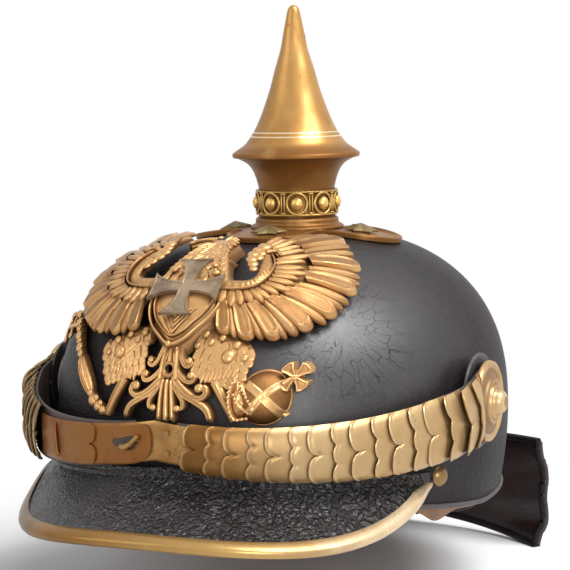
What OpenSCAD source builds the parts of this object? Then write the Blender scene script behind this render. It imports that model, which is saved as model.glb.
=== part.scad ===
// Officer's spiked leather helmet with a gilt eagle plate, a squared front visor,
// a hooked chin chain of brass scales and a spike that lifts out of its neck.
// Units are millimetres. The origin is the middle of the head opening at ear level.
// +Z runs up along the spike, the wearer looks along -Y, and +X is the wearer's left.

/* [Skull] */
// Half width of the leather skull at its widest level
skull_half_w = 96.5; // [88:0.5:104]
// Half length of the leather skull, front to back
skull_half_l = 115; // [106:1:124]
// How far the middle of the skull lies behind the origin
skull_mid_y = -0.8; // [-4:0.1:2]
// Level of the widest girth
belly_z = 38; // [32:1:44]
// Level of the top of the leather
crown_z = 116.5; // [110:0.5:124]
// How far the crown is drawn back towards the spike
crown_back = 10; // [4:1:14]
// Share by which the skull draws in from the belly to the rim
rim_tuck = 0.07; // [0.02:0.01:0.1]
// Thickness of the leather
skull_wall = 3; // [2.4:0.1:3.6]
// Level of the rim beside the ears and behind
rim_z = 2; // [-2:0.5:6]
// Rise of the rim towards the forehead
rim_rise = 18; // [12:1:22]
// Radius of the vent hole under the spike
vent_r = 12; // [9:0.5:14]

/* [Front visor] */
// Thickness of the visor leather
visor_wall = 2.6; // [2:0.1:3.2]
// How far the visor's front edge lies before the origin
visor_front = 151.5; // [146:0.5:158]
// How far the visor's ends stand out from the skull
visor_end_w = 2; // [1.6:0.2:3]
// How far in front of the origin the visor ends lie
visor_end_y = 51.5; // [48:0.5:54]
// How far age has pulled the visor towards the wearer's left
visor_skew = 4; // [0:0.5:8]
// Level of the visor's front edge
visor_edge_z = 8.5; // [6:0.5:11]
// How far the visor's corners hang below its front edge
visor_dip = 19; // [12:1:22]
// Level of the visor's ends beside the ears
visor_end_z = 21.5; // [18:0.5:24]
// Level of the visor's seam at the forehead
seam_front_z = 33; // [30:0.5:36]
// Width of the folded brass edging
trim_w = 5.5; // [4:0.25:7]
// Thickness of the brass sheet of the edging
trim_t = 0.9; // [0.6:0.1:1.2]

/* [Neck guard] */
// Thickness of the neck guard with its lining
guard_wall = 2.6; // [2:0.1:3.2]
// Level of the guard's top edge behind
guard_top_z = 10; // [7:0.5:13]
// Level of the guard's bottom edge behind
guard_low_z = -33; // [-38:1:-28]
// How far the guard's bottom edge stands out from its seam
guard_flare = 15; // [10:1:20]
// How far the torn left end has sprung off the skull
guard_spring = 27; // [20:1:32]
// How much lower the torn end hangs
guard_sag = 7; // [3:1:10]

/* [Spike] */
// How far the spike's axis lies behind the origin
spike_y = 14; // [10:0.5:18]
// Height of the spike from its rim to the tip
spike_h = 67.8; // [56:0.2:80]
// Radius of the spike's rim
spike_rim_r = 28.6; // [26:0.2:31]
// Level of the mouth of the neck, where the spike's rim rests
neck_top_z = 149.2; // [146:0.2:154]
// Radius of the neck behind the pearl ring
neck_r = 17; // [15.5:0.25:18]
// Wall of the spun brass
brass_wall = 1.2; // [0.9:0.1:1.5]
// Radius of the spike's spigot
spigot_r = 7; // [5:0.25:9]
// Length of the spike's spigot
spigot_l = 14; // [10:1:18]
// Number of pearls round the ring
pearls = 9; // [7:1:11]

/* [Base plate] */
// Reach of each arm of the cross-shaped base from the spike's axis
base_reach = 49; // [45:0.5:54]
// Width of each arm
base_arm_w = 37; // [32:1:42]
// Distance of each star stud from the spike's axis
star_pitch_r = 30.4; // [28.5:0.2:32]
// Radius of a star stud over its points
star_r = 8.2; // [7:0.2:9]
// Height of a star stud
star_h = 3.8; // [3:0.2:5]
// Radius of a stud's shank
shank_r = 1.6; // [1.2:0.1:2]

/* [Chin chain] */
// How far before the origin the rosettes sit
rosette_y = 22; // [18:1:26]
// Level of the rosettes
rosette_z = 49.5; // [46:0.5:53]
// Radius of the rosettes
rosette_r = 17; // [15:0.2:19]
// Height of a rosette's boss over its seat
rosette_h = 9; // [7:0.5:11]
// Number of scales on the left half of the chain
left_scale_count = 16; // [14:1:17]
// Number of scales on the right half, behind its long end plates
right_scale_count = 10; // [8:1:11]
// Height of the scale next to the hook
scale_low_h = 17; // [15:0.5:20]
// Height of the scale under the rosette
scale_high_h = 29; // [26:0.5:31]
// Thickness of a scale
scale_t = 0.8; // [0.6:0.1:1]
// Level of the chain's lowest stretch
chain_low_z = 40; // [37:0.5:41]
// Distance from the leather skull to the chain over the forehead
chain_gap = 8.5; // [8:0.25:10]
// Length of a scale
scale_l = 14; // [12:0.5:15]
// Lift of each scale's lobed edge over the next one
scale_tilt = 7; // [7:0.25:9]
// Thickness of the chain's leather backing
backing_t = 1.4; // [1:0.1:1.8]

/* [Eagle plate] */
// How far the eagle's wings and body stand over the skull
eagle_relief = 10; // [8:0.25:11]
// Width of the silver cross
cross_w = 30; // [26:1:36]
// Thickness of the silver cross
cross_t = 1.6; // [1.2:0.1:2.2]
// Radius of the orb in the eagle's claw
orb_r = 10.4; // [9:0.5:12]

/* [Inside] */
// Height of the sweatband
band_h = 40; // [32:1:46]
// Thickness of the sweatband
band_t = 1.4; // [1:0.1:1.8]
// Distance from the leather skull in to the sweatband
band_gap = 3; // [2:0.5:4]
// Thickness of the silk lining
silk_t = 1; // [0.8:0.1:1.4]
// Number of gathers in the silk lining
gathers = 16; // [8:8:16]

/* [Hidden] */
$fn = 48;

crown_power = 2.45;
side_power = 2.7;
seat = 0.3;
base_t = 1.2;
neck_foot_z = crown_z + seat + base_t + 0.3;
ring_stations = 72;
dome_rows = 11;

// Girth of the skull at a level, as a share of its widest, a gap g outside the leather
function rise(z, g) = min(1, max(0, (z - belly_z) / (crown_z + g - belly_z)));
function girth(z, g) =
    z > belly_z ? pow(max(0, 1 - pow(rise(z, g), crown_power)), 1 / side_power)
    : 1 - rim_tuck * pow((belly_z - z) / 48, 1.8);
function back_shift(z, g) = crown_back * pow(rise(z, g), 8);

// A point of the skull's skin at angle u round the head, where -90 is the forehead
function skin(u, z, g = 0) = [
    (skull_half_w + g) * girth(z, g) * cos(u),
    skull_mid_y + back_shift(z, g) + (skull_half_l + g) * girth(z, g) * sin(u),
    z
];

// The same surface by latitude v, from 0 at the belly to 90 at the crown
function dome_z(v, g) = belly_z + (crown_z + g - belly_z) * pow(sin(v), 2 / crown_power);
function dome(u, v, g = 0) =
    let (z = dome_z(v, g), k = pow(cos(v), 2 / side_power))
    [(skull_half_w + g) * k * cos(u),
     skull_mid_y + back_shift(z, g) + (skull_half_l + g) * k * sin(u), z];

function unit(p) = p / norm(p);
function normal_at(u) = unit([cos(u) / skull_half_w, sin(u) / skull_half_l, 0]);
function mix(a, b, t) = a + (b - a) * t;
function smooth(t) = let (c = min(1, max(0, t))) c * c * (3 - 2 * c);
function rim_level(u) = rim_z + rim_rise * pow(max(0, -sin(u)), 1.3);
function side_angle(y) = asin((y - skull_mid_y) / skull_half_l);

// Solid through a row of closed sections that each run out along one face and back
// along the other. A closed row joins its last section to its first.
module loft(sections, closed = false) {
    m = len(sections[0]);
    n = len(sections);
    points = [for (s = sections) each s];
    spans = closed ? n : n - 1;
    walls = [for (i = [0 : spans - 1]) for (j = [0 : m - 1])
        let (a = i * m + j, b = i * m + (j + 1) % m,
             c = ((i + 1) % n) * m + (j + 1) % m, d = ((i + 1) % n) * m + j)
        each [[a, c, b], [a, d, c]]];
    half = m / 2;
    first = closed ? [] : [for (j = [0 : half - 2])
        each [[j, j + 1, m - 1 - j], [j + 1, m - 2 - j, m - 1 - j]]];
    last = closed ? [] : [for (t = first) [for (k = [2, 1, 0]) t[k] + (n - 1) * m]];
    polyhedron(points = points, faces = concat(walls, first, last), convexity = 8);
}

// The leather skull as one wall between two gaps from its skin, open at rim and vent
v_top = acos(pow(vent_r / skull_half_w, side_power / 2));
function row(k) = v_top * k / dome_rows;
function skull_section(u, outer, inner) =
    let (foot = rim_level(u))
    concat(
        [for (k = [0 : 3]) skin(u, mix(foot, belly_z, k / 4), outer)],
        [for (k = [0 : dome_rows]) dome(u, row(k), outer)],
        [for (k = [dome_rows : -1 : 0]) dome(u, row(k), inner)],
        [for (k = [3 : -1 : 0]) skin(u, mix(foot, belly_z, k / 4), inner)]
    );

// A piece of wall on the dome between two gaps, between two angles and above one row
module skin_patch(inner, outer, u0, u1, low_row) {
    steps = (u1 - u0) * ring_stations / 360;
    loft([for (i = [0 : steps - (u1 - u0 == 360 ? 1 : 0)])
        let (u = u1 - i * 360 / ring_stations)
        concat([for (k = [low_row : dome_rows]) dome(u, row(k), outer)],
               [for (k = [dome_rows : -1 : low_row]) dome(u, row(k), inner)])],
        u1 - u0 == 360);
}

// A point on the crown over x and y, and the way the skin faces there
function crown_level(x, y, g, shift) =
    let (k = norm([x / (skull_half_w + g), (y - skull_mid_y - shift) / (skull_half_l + g)]))
    belly_z + (crown_z + g - belly_z) * pow(1 - pow(k, side_power), 1 / crown_power);
function crown_at(x, y, g) =
    let (first = crown_level(x, y, g, crown_back))
    [x, y, crown_level(x, y, g, back_shift(first, g))];
function crown_normal(x, y) =
    unit([crown_at(x - 1, y, 0)[2] - crown_at(x + 1, y, 0)[2],
          crown_at(x, y - 1, 0)[2] - crown_at(x, y + 1, 0)[2], 2]);

// Places of the four star studs, of the eagle's posts and of the rosettes
star_spots = [for (k = [0 : 3])
    [star_pitch_r * cos(90 * k), spike_y + star_pitch_r * sin(90 * k)]];
module at_star(k) {
    p = star_spots[k];
    n = crown_normal(p[0], p[1]);
    translate(crown_at(p[0], p[1], 0))
        rotate(a = acos(n[2]), v = [-n[1], n[0], 0])
            children();
}
eagle_post_x = 32;
eagle_post_z = 92;
eagle_post_r = 1.5;
trim_stud_z = visor_end_z + 1;
screw_r = 2.2;
left_x = skin(side_angle(-rosette_y), rosette_z)[0];

module at_rosette(side) {
    translate([side * left_x, -rosette_y, rosette_z])
        rotate([0, side * 90, 0])
            children();
}

// Skull
module skull() {
    color("#26262a")
    difference() {
        loft([for (i = [0 : ring_stations - 1])
            skull_section(-i * 360 / ring_stations, 0, -skull_wall)], true);
        for (k = [0 : 3])
            at_star(k)
                translate([0, 0, -10])
                    cylinder(r = shank_r + seat, h = 20, $fn = 24);
        for (side = [-1, 1]) {
            at_rosette(side)
                translate([0, 0, -20])
                    cylinder(r = screw_r + seat, h = 30, $fn = 24);
            eagle_axis(side)
                translate([0, 0, -30])
                    cylinder(r = eagle_post_r + seat, h = 60, $fn = 24);
            trim_stud_axis(side)
                translate([0, 0, -12])
                    cylinder(r = shank_r + seat, h = 20, $fn = 24);
        }
    }
}

// Axis of an eagle post, outwards from the leather over the brow
module eagle_axis(side) {
    translate([side * eagle_post_x, skin_y_front(eagle_post_x, eagle_post_z), eagle_post_z])
        rotate([90, 0, 0])
            children();
}

// Front visor: seam on the skull, then out and down to the brass edge
visor_u = abs(side_angle(-visor_end_y));
visor_reach = visor_front - visor_end_y;
visor_side_power = 2.63;
visor_front_power = 1.86;
visor_half_w = skin(side_angle(-visor_end_y), visor_end_z)[0] + visor_end_w;
visor_stations = 40;
seam_flat = 5;
function visor_th(i) = mix(-90, 90, i / visor_stations);
function visor_seam(th) =
    let (z = mix(seam_front_z, visor_end_z + 3, pow(abs(th) / 90, 1.2)))
    skin(-90 + th * (90 - visor_u) / 90, z, seat + 0.2);
function visor_edge(th) = [
    visor_skew * cos(th) + visor_half_w * sign(th) * pow(abs(sin(th)), 2 / visor_side_power),
    -visor_end_y - visor_reach * pow(max(0, cos(th)), 2 / visor_front_power),
    visor_edge_z - visor_dip * pow(sin(th), 2)
        + (visor_end_z - visor_edge_z + visor_dip) * pow(abs(th) / 90, 2.5)
];
function bezier(a, b, c, t) = a * pow(1 - t, 2) + b * 2 * t * (1 - t) + c * pow(t, 2);
function bezier_dir(a, b, c, t) = unit((b - a) * (1 - t) + (c - b) * t);

// The visor's lower line in its own upright plane: seam foot, bend and edge
function visor_line(th) =
    let (s = visor_seam(th), e = visor_edge(th), reach = norm([e[0] - s[0], e[1] - s[1]]))
    [[0, s[2] - seam_flat], [min(3, reach / 3), s[2] - seam_flat - 3.5], [reach, e[2]]];
function visor_out(th) =
    let (s = visor_seam(th), e = visor_edge(th)) unit([e[0] - s[0], e[1] - s[1], 0]);
function visor_place(th, p) =
    let (s = visor_seam(th), w = visor_out(th)) [s[0] + w[0] * p[0], s[1] + w[1] * p[0], p[1]];
function visor_section(th, wall) =
    let (s = visor_seam(th), l = visor_line(th),
         low = concat([[0, s[2]]], [for (k = [0 : 5]) bezier(l[0], l[1], l[2], k / 5)]),
         high = concat([[wall, s[2]]], [for (k = [0 : 5])
             let (d = k == 0 ? [0, -1] : bezier_dir(l[0], l[1], l[2], k / 5))
             bezier(l[0], l[1], l[2], k / 5) + wall * [-d[1], d[0]]]))
    concat([for (p = high) visor_place(th, p)],
           [for (k = [6 : -1 : 0]) visor_place(th, low[k])]);

module front_visor() {
    color("#2b2b2f")
        loft([for (i = [0 : visor_stations])
            visor_section(visor_th(i), visor_wall)]);
}

// Folded brass edging, a channel over the visor's edge
trim_gap = 0.35;
function trim_section(th) =
    let (l = visor_line(th), e = l[2], d = bezier_dir(l[0], l[1], l[2], 1), n = [-d[1], d[0]],
         c = trim_gap, w = min(trim_w, norm(l[2] - l[0]) * 0.3),
         frame = [[-w, visor_wall + c + trim_t], [c + trim_t, visor_wall + c + trim_t],
                  [c + trim_t, -c - trim_t], [-w, -c - trim_t],
                  [-w, -c], [c, -c], [c, visor_wall + c], [-w, visor_wall + c]])
    [for (p = frame) visor_place(th, e + d * p[0] + n * p[1])];

module visor_trim() {
    color("#c79a4b")
        loft_channel([for (i = [2 : visor_stations - 2]) trim_section(visor_th(i))]);
}

// Solid through a row of channel sections of eight points
module loft_channel(sections) {
    m = 8;
    n = len(sections);
    walls = [for (i = [0 : n - 2]) for (j = [0 : m - 1])
        let (a = i * m + j, b = i * m + (j + 1) % m, c = a + m, d = b + m)
        each [[a, d, b], [a, c, d]]];
    first = [[0, 6, 7], [0, 1, 6], [1, 5, 6], [1, 2, 5], [2, 4, 5], [2, 3, 4]];
    last = [for (t = first) [for (k = [2, 1, 0]) t[k] + (n - 1) * m]];
    polyhedron(points = [for (s = sections) each s], faces = concat(walls, first, last));
}

// Domed studs that hold the ends of the edging
trim_stud_y = visor_end_y - 2.2;
trim_stud_r = 4.2;
trim_stud_u = side_angle(-trim_stud_y);
module trim_stud_axis(side) {
    p = skin(trim_stud_u, trim_stud_z);
    n = normal_at(trim_stud_u);
    translate([side * p[0], p[1], p[2]])
        rotate([0, 0, side > 0 ? atan2(n[1], n[0]) : 180 - atan2(n[1], n[0])])
            rotate([0, 90, 0])
                children();
}

module trim_studs() {
    color("#d4a857")
    for (side = [-1, 1])
        trim_stud_axis(side) {
            translate([0, 0, -skull_wall - 0.8])
                cylinder(r = shank_r, h = skull_wall + 3 * seat + visor_wall + 1.8, $fn = 24);
            translate([0, 0, 3 * seat + visor_wall])
                rotate_extrude($fn = 64)
                    intersection() {
                        translate([0, -trim_stud_r * 0.4])
                            circle(r = trim_stud_r * 1.077, $fn = 64);
                        square([2 * trim_stud_r, 2 * trim_stud_r]);
                    }
        }
}

// Neck guard: sewn on from the right ear round behind, torn and sprung off on the left
guard_start_u = 172;
guard_end_u = 45;
guard_free_u = 82;
guard_stations = 40;
function guard_u(i) = mix(guard_start_u, guard_end_u, i / guard_stations);
function guard_free(u) = max(0, (guard_free_u - u) / (guard_free_u - guard_end_u));
function guard_off(u) = guard_spring * pow(guard_free(u), 1.35);
function guard_section(u) =
    let (n = normal_at(u), off = guard_off(u), free = guard_free(u),
         top = guard_top_z,
         low = guard_low_z - guard_sag * pow(free, 1.2)
             + 22 * pow(max(0, (u - 120) / (guard_start_u - 120)), 2),
         foot = skin(u, guard_top_z, seat) + n * off,
         flare = guard_flare * (1 - free) * (low / guard_low_z),
         inner = [[0, top], [0, 3], [1, 0], [flare * 0.45, low * 0.5], [flare, low]],
         outer = [for (p = inner) [p[0] + guard_wall * (p[1] > 2 ? 1 : 0.93),
                                   p[1] + (p[1] > 2 ? 0 : guard_wall * 0.36)]])
    concat([for (p = outer) [foot[0] + n[0] * p[0], foot[1] + n[1] * p[0], p[1]]],
           [for (k = [4 : -1 : 0]) [foot[0] + n[0] * inner[k][0],
                                    foot[1] + n[1] * inner[k][0], inner[k][1]]]);

module neck_guard() {
    color("#3a1c20")
        loft([for (i = [guard_stations : -1 : 0]) guard_section(guard_u(i))]);
}

// Brass spine down the back, from the base plate to the guard's edge
spine_w = 12;
spine_t = 1;
spine_top_z = crown_z - 12;
function spine_line(g) =
    let (low = guard_low_z, y0 = skin(90, guard_top_z, seat)[1])
    concat(
        [for (k = [0 : 14])
            let (p = skin(90, mix(spine_top_z, guard_top_z + 8, k / 14), seat + g))
            [p[1], p[2]]],
        [[y0 + guard_wall + seat + g, guard_top_z + 1],
         [y0 + guard_wall + seat + g, 2.4],
         [y0 + guard_flare * 0.45 + guard_wall + 0.5 + g, low * 0.5 + 1.5],
         [y0 + guard_flare + guard_wall + 0.5 + g, low + 1.5]]
    );
module rear_spine() {
    color("#c79a4b")
        rotate([90, 0, 90])
            translate([0, 0, -spine_w / 2])
                linear_extrude(spine_w)
                    polygon(concat(spine_line(spine_t),
                        [for (k = [18 : -1 : 0]) spine_line(0)[k]]));
}

spine_stud_levels = [88, 34];
module spine_studs() {
    color("#d4a857")
    for (z = spine_stud_levels) {
        p = skin(90, z, seat + spine_t);
        q = skin(90, z - 1, seat + spine_t);
        tilt = atan2(p[1] - q[1], 1);
        translate(p)
            rotate([-90 + (-tilt), 0, 0])
                translate([0, 0, 0.2])
                    rotate_extrude()
                        intersection() {
                            translate([0, -2.4])
                                circle(r = 4.3, $fn = 64);
                            square([8, 8]);
                        }
    }
}

// Base plate: a draped cross with round arms and a round seat for the neck
module base_outline() {
    reach = base_reach - base_arm_w / 2;
    for (a = [0, 90])
        rotate(a) {
            square([2 * reach, base_arm_w], center = true);
            for (s = [-1, 1])
                translate([s * reach, 0])
                    circle(d = base_arm_w, $fn = 64);
        }
    circle(r = base_arm_w * 0.66, $fn = 64);
}
module base_cross() {
    color("#b98a44")
    difference() {
        union() {
            intersection() {
                skin_patch(seat, seat + base_t, 0, 360, 8);
                translate([0, spike_y, crown_z - 30])
                    linear_extrude(60)
                        base_outline();
            }
            translate([0, spike_y, neck_foot_z - base_t - 0.3])
                difference() {
                    cylinder(r = neck_r + 4.5, h = base_t + 0.3, $fn = 96);
                    translate([0, 0, -1])
                        cylinder(r = spigot_r + 1, h = base_t + 3, $fn = 64);
                }
        }
        for (k = [0 : 3])
            at_star(k)
                cylinder(r = shank_r + seat / 2, h = 20, $fn = 24);
    }
}

// Star studs on the arms
star_points = 6;
star_seat = seat + base_t + 0.3;
shank_depth = skull_wall + 6;
module star() {
    n = 2 * star_points;
    ring = [for (k = [0 : n - 1])
        let (a = k * 360 / n, q = k % 2 == 0 ? star_r : star_r * 0.62)
        [q * cos(a), q * sin(a), 0]];
    crest = [for (p = ring) [p[0] * 0.35, p[1] * 0.35, star_h]];
    polyhedron(
        points = concat(ring, crest, [[0, 0, 0], [0, 0, star_h]]),
        faces = concat(
            [for (k = [0 : n - 1]) each [[k, n + k, (k + 1) % n],
                                         [(k + 1) % n, n + k, n + (k + 1) % n]]],
            [for (k = [0 : n - 1]) [k, (k + 1) % n, 2 * n]],
            [for (k = [0 : n - 1]) [n + (k + 1) % n, n + k, 2 * n + 1]]
        ));
}
module star_studs() {
    color("#9a7b4e")
    for (k = [0 : 3])
        at_star(k) {
            translate([0, 0, star_seat])
                star();
            translate([0, 0, -shank_depth])
                cylinder(r = shank_r, h = shank_depth + star_seat + 1, $fn = 24);
        }
}

// Round nuts inside the crown, one on each stud
nut_h = 2.4;
module nut(bore_r, r, h) {
    difference() {
        cylinder(r = r, h = h, $fn = 40);
        translate([0, 0, -1])
            cylinder(r = bore_r + 0.05, h = h + 2, $fn = 24);
    }
}
module stud_nuts() {
    color("#8d7a55")
    for (k = [0 : 3])
        at_star(k)
            translate([0, 0, -skull_wall - 0.5 - nut_h])
                nut(shank_r, 4.2, nut_h);
}

// Neck: spun brass from the foot up to the mouth, with a collar for the spigot
pearl_low_z = neck_foot_z + 5.3;
pearl_high_z = neck_foot_z + 17;
neck_outer = [
    [20.8, neck_foot_z], [19, neck_foot_z + 1.2], [18.6, neck_foot_z + 3],
    [neck_r + 0.6, neck_foot_z + 4.4], [neck_r, pearl_low_z], [neck_r, pearl_high_z],
    [neck_r + 0.6, pearl_high_z + 2.5], [neck_r + 2, neck_top_z - 7.2],
    [neck_r + 4.4, neck_top_z - 3], [spike_rim_r - 2.6, neck_top_z]
];
module spike_neck() {
    color("#b98a44")
    translate([0, spike_y, 0])
        rotate_extrude($fn = 96) {
            polygon(concat(neck_outer,
                [for (k = [9 : -1 : 0]) neck_outer[k] - [brass_wall + (k == 9 ? 2.4 : 0.4), 0]]));
            translate([spigot_r + 0.06, pearl_high_z - 2])
                square([neck_r - spigot_r - 1, 8]);
        }
}

// Pearl ring round the neck
module pearl_ring() {
    mid_z = (pearl_low_z + pearl_high_z) / 2;
    ring_h = pearl_high_z - pearl_low_z;
    band_r = neck_r + 0.1;
    color("#c39b54")
    translate([0, spike_y, 0]) {
        rotate_extrude($fn = 96)
            polygon([[band_r, pearl_low_z + 0.2], [band_r + 1.4, pearl_low_z + 0.2],
                     [band_r + 1.4, pearl_low_z + 1.4], [band_r + 0.7, pearl_low_z + 1.9],
                     [band_r + 0.7, pearl_high_z - 1.9], [band_r + 1.4, pearl_high_z - 1.4],
                     [band_r + 1.4, pearl_high_z - 0.2], [band_r, pearl_high_z - 0.2]]);
        for (k = [0 : pearls - 1])
            rotate(-95.5 + k * 360 / pearls) {
                translate([band_r + 0.2, 0, mid_z])
                    rotate([0, 90, 0])
                        rotate_extrude($fn = 28)
                            pearl_profile(ring_h / 2 - 1);
                rotate(180 / pearls)
                    translate([band_r + 1.1, 0, pearl_low_z + 0.8])
                        cylinder(r = 1, h = ring_h - 1.6, $fn = 20);
            }
    }
}
module pearl_profile(r) {
    foot = 0.6;
    lip = 1.4;
    dome_w = r - lip - 0.4;
    polygon(concat(
        [[0, 0], [r, 0], [r, foot], [r - 0.2 * lip, foot + 0.6], [r - 0.8 * lip, foot + 0.6],
         [r - lip, foot]],
        [for (a = [0 : 15 : 90]) [dome_w * cos(a), foot + 0.65 * dome_w * sin(a)]]
    ));
}

// Spike: spun brass cone on a rim, with its spigot
spike_outer = concat(
    [[spike_rim_r - 0.6, 0], [spike_rim_r, 0.5], [spike_rim_r, 1.9], [spike_rim_r - 1, 2.6]],
    [for (p = [[0.808, 0.086], [0.731, 0.125], [0.65, 0.178], [0.573, 0.245], [0.51, 0.31],
               [0.399, 0.442], [0.313, 0.574], [0.219, 0.705], [0.164, 0.823], [0.126, 0.9],
               [0.101, 0.953], [0.078, 0.98], [0.04, 0.995], [0, 1]])
        [p[0] * spike_rim_r, p[1] * spike_h]]
);
spike_bore_r = 3;
spike_seat_z = neck_top_z + seat / 2;
module spike() {
    color("#b98a44")
    translate([0, spike_y, spike_seat_z]) {
        rotate_extrude($fn = 96)
            difference() {
                polygon(concat([[0, 0]], spike_outer));
                polygon(concat([[0, brass_wall + 0.4]],
                    [for (k = [4 : 11]) spike_outer[k] - [brass_wall * 1.2, 0.4]],
                    [[0, 0.76 * spike_h]]));
                square([spike_bore_r, 3 * brass_wall]);
            }
        translate([0, 0, -spigot_l])
            difference() {
                cylinder(r = spigot_r, h = spigot_l + brass_wall / 2, $fn = 64);
                translate([0, 0, -1])
                    cylinder(r = spike_bore_r, h = spigot_l + 3, $fn = 40);
            }
    }
}

// Eagle plate. Wings, body and head are drawn on a plane that leans with the brow,
// the legs, tail, sceptre and orb as seen from in front; all are wrapped on the skull.
wing_outline = [
    [11, -18], [16, -6], [18, 0], [23, 7], [20, 16], [19, 24], [20, 31], [23, 35], [25, 43],
    [31, 53], [39, 54], [46, 47], [55, 37], [60, 26], [61, 14], [58, 9], [57, 2], [52, -7],
    [46, -15], [40, -20], [32, -24], [22, -24], [13, -23]
];
wing_root = [
    [11, -18], [16, -6], [18, 0], [23, 7], [20, 16], [19, 24], [20, 31], [25, 33], [31, 30],
    [38, 16], [42, 0], [38, -12], [30, -19], [16, -22]
];
body_outline = [
    [-12, 24], [12, 24], [13, 15], [19, 5], [17, -9], [13, -24], [6, -31], [0, -34],
    [-6, -31], [-13, -24], [-17, -9], [-19, 5], [-13, 15]
];
head_outline = [
    [10, 20], [10, 31], [6, 36], [-5, 38], [-15, 37], [-17, 33], [-10, 31], [-9, 26], [-10, 20]
];
thigh_outline = [
    [9, 81], [12, 89], [20, 87], [28, 84], [33, 79], [34, 75], [32, 71], [28, 69], [26, 66],
    [26, 62], [30, 57], [34, 56], [34, 52], [25, 52], [18, 67], [12, 69], [12, 75], [14, 78]
];
tail_outline = [
    [-7, 84], [7, 84], [7, 75], [12, 70], [17, 66], [18, 63], [13, 61], [21, 57], [21, 51.5],
    [-21, 51.5], [-21, 57], [-13, 61], [-18, 63], [-17, 66], [-12, 70], [-7, 75]
];
sceptre_outline = [
    [-28, 52], [-36, 51], [-45, 57], [-51, 68], [-57, 78], [-63, 81], [-71, 77], [-74, 83],
    [-66, 88], [-60, 91], [-55, 88], [-52, 81], [-43, 71], [-36, 61], [-29, 58]
];
eagle_seat = 0.8;
wing_lift = 0.55 * eagle_relief;
limb_relief = 0.5 * eagle_relief;
brow_lean = 39;
brow_y = -75;
brow_z = 84;
post_in = 18;
post_out = 6;

module from_brow() {
    translate([0, brow_y, brow_z])
        rotate([brow_lean, 0, 0])
            linear_extrude(80)
                children();
}
module from_front(y_back) {
    translate([0, y_back, 0])
        rotate([90, 0, 0])
            linear_extrude(160 + y_back)
                children();
}
module skin_layer(g_in, g_out) {
    intersection() {
        skin_patch(g_in, g_out, -165, -15, 0);
        children();
    }
}
module eagle_relief_layers() {
    union() {
        skin_layer(eagle_seat + wing_lift, eagle_seat + eagle_relief)
            from_brow()
                for (s = [0, 1])
                    mirror([s, 0])
                        polygon(wing_outline);
        skin_layer(eagle_seat, eagle_seat + 0.8 * eagle_relief)
            from_brow()
                for (s = [0, 1])
                    mirror([s, 0])
                        polygon(wing_root);
        skin_layer(eagle_seat + 0.1, eagle_seat + 0.95 * eagle_relief)
            from_brow() {
                polygon(body_outline);
                polygon(head_outline);
            }
        skin_layer(eagle_seat + 0.2, eagle_seat + limb_relief)
            from_front(-40) {
                for (s = [0, 1])
                    mirror([s, 0])
                        polygon(thigh_outline);
                difference() {
                    polygon(tail_outline);
                    translate([0, 72])
                        circle(r = 2, $fn = 24);
                }
                polygon(sceptre_outline);
                orb_outline();
            }
        for (side = [-1, 1])
            eagle_axis(side)
                translate([0, 0, -post_in])
                    cylinder(r = eagle_post_r, h = post_in + post_out, $fn = 24);
    }
}
module eagle_plate() {
    color("#cf9f52")
    difference() {
        eagle_relief_layers();
        cross_pin_holes();
    }
}
function skin_y_front(x, z) =
    let (k = girth(z, 0), c = x / (skull_half_w * k))
    skull_mid_y + back_shift(z, 0) - skull_half_l * k * sqrt(1 - c * c);
orb_x = 39.5;
orb_z = 61.5;
orb_cross_x = 10.5;
orb_cross_z = 9;
orb_cross_l = 12;
orb_cross_w = 4;
module orb_outline() {
    translate([orb_x, orb_z])
        circle(r = orb_r, $fn = 48);
    translate([orb_x + orb_cross_x, orb_z + orb_cross_z])
        rotate(45)
            for (a = [0, 90])
                rotate(a)
                    square([orb_cross_l, orb_cross_w], center = true);
}

module eagle_nuts() {
    color("#8d7a55")
    for (side = [-1, 1])
        eagle_axis(side)
            translate([0, 0, -post_in + 1.4])
                nut(eagle_post_r, 4, 3);
}

// Silver cross on the eagle's breast
cross_lean = 50;
cross_z = 94;
cross_x = 2;
cross_y = skin_y_front(cross_x, cross_z);
cross_lift = eagle_seat + eagle_relief + 0.3;
module on_breast() {
    translate([cross_x, cross_y, cross_z])
        rotate([90 - cross_lean, 0, 0])
            translate([0, 0, cross_lift])
                children();
}
module silver_cross() {
    arm = cross_w / 2;
    color("#8f8c84")
    on_breast()
        linear_extrude(cross_t)
            for (a = [0 : 90 : 270])
                rotate(a)
                    polygon([[-arm * 0.17, 0], [-arm * 0.24, arm * 0.35], [-arm * 0.56, arm],
                             [arm * 0.56, arm], [arm * 0.24, arm * 0.35], [arm * 0.17, 0]]);
}
pin_r = 0.8;
pin_l = 6;
module cross_pin_spots() {
    on_breast()
        for (x = [-cross_w * 0.3, cross_w * 0.3])
            translate([x, 0, -pin_l])
                children();
}
module cross_pin_holes() {
    cross_pin_spots()
        translate([0, 0, -0.2])
            cylinder(r = pin_r + 0.1, h = pin_l + 3, $fn = 24);
}
module cross_pins() {
    color("#b98a44")
    cross_pin_spots()
        cylinder(r = pin_r, h = pin_l, $fn = 24);
}

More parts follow.
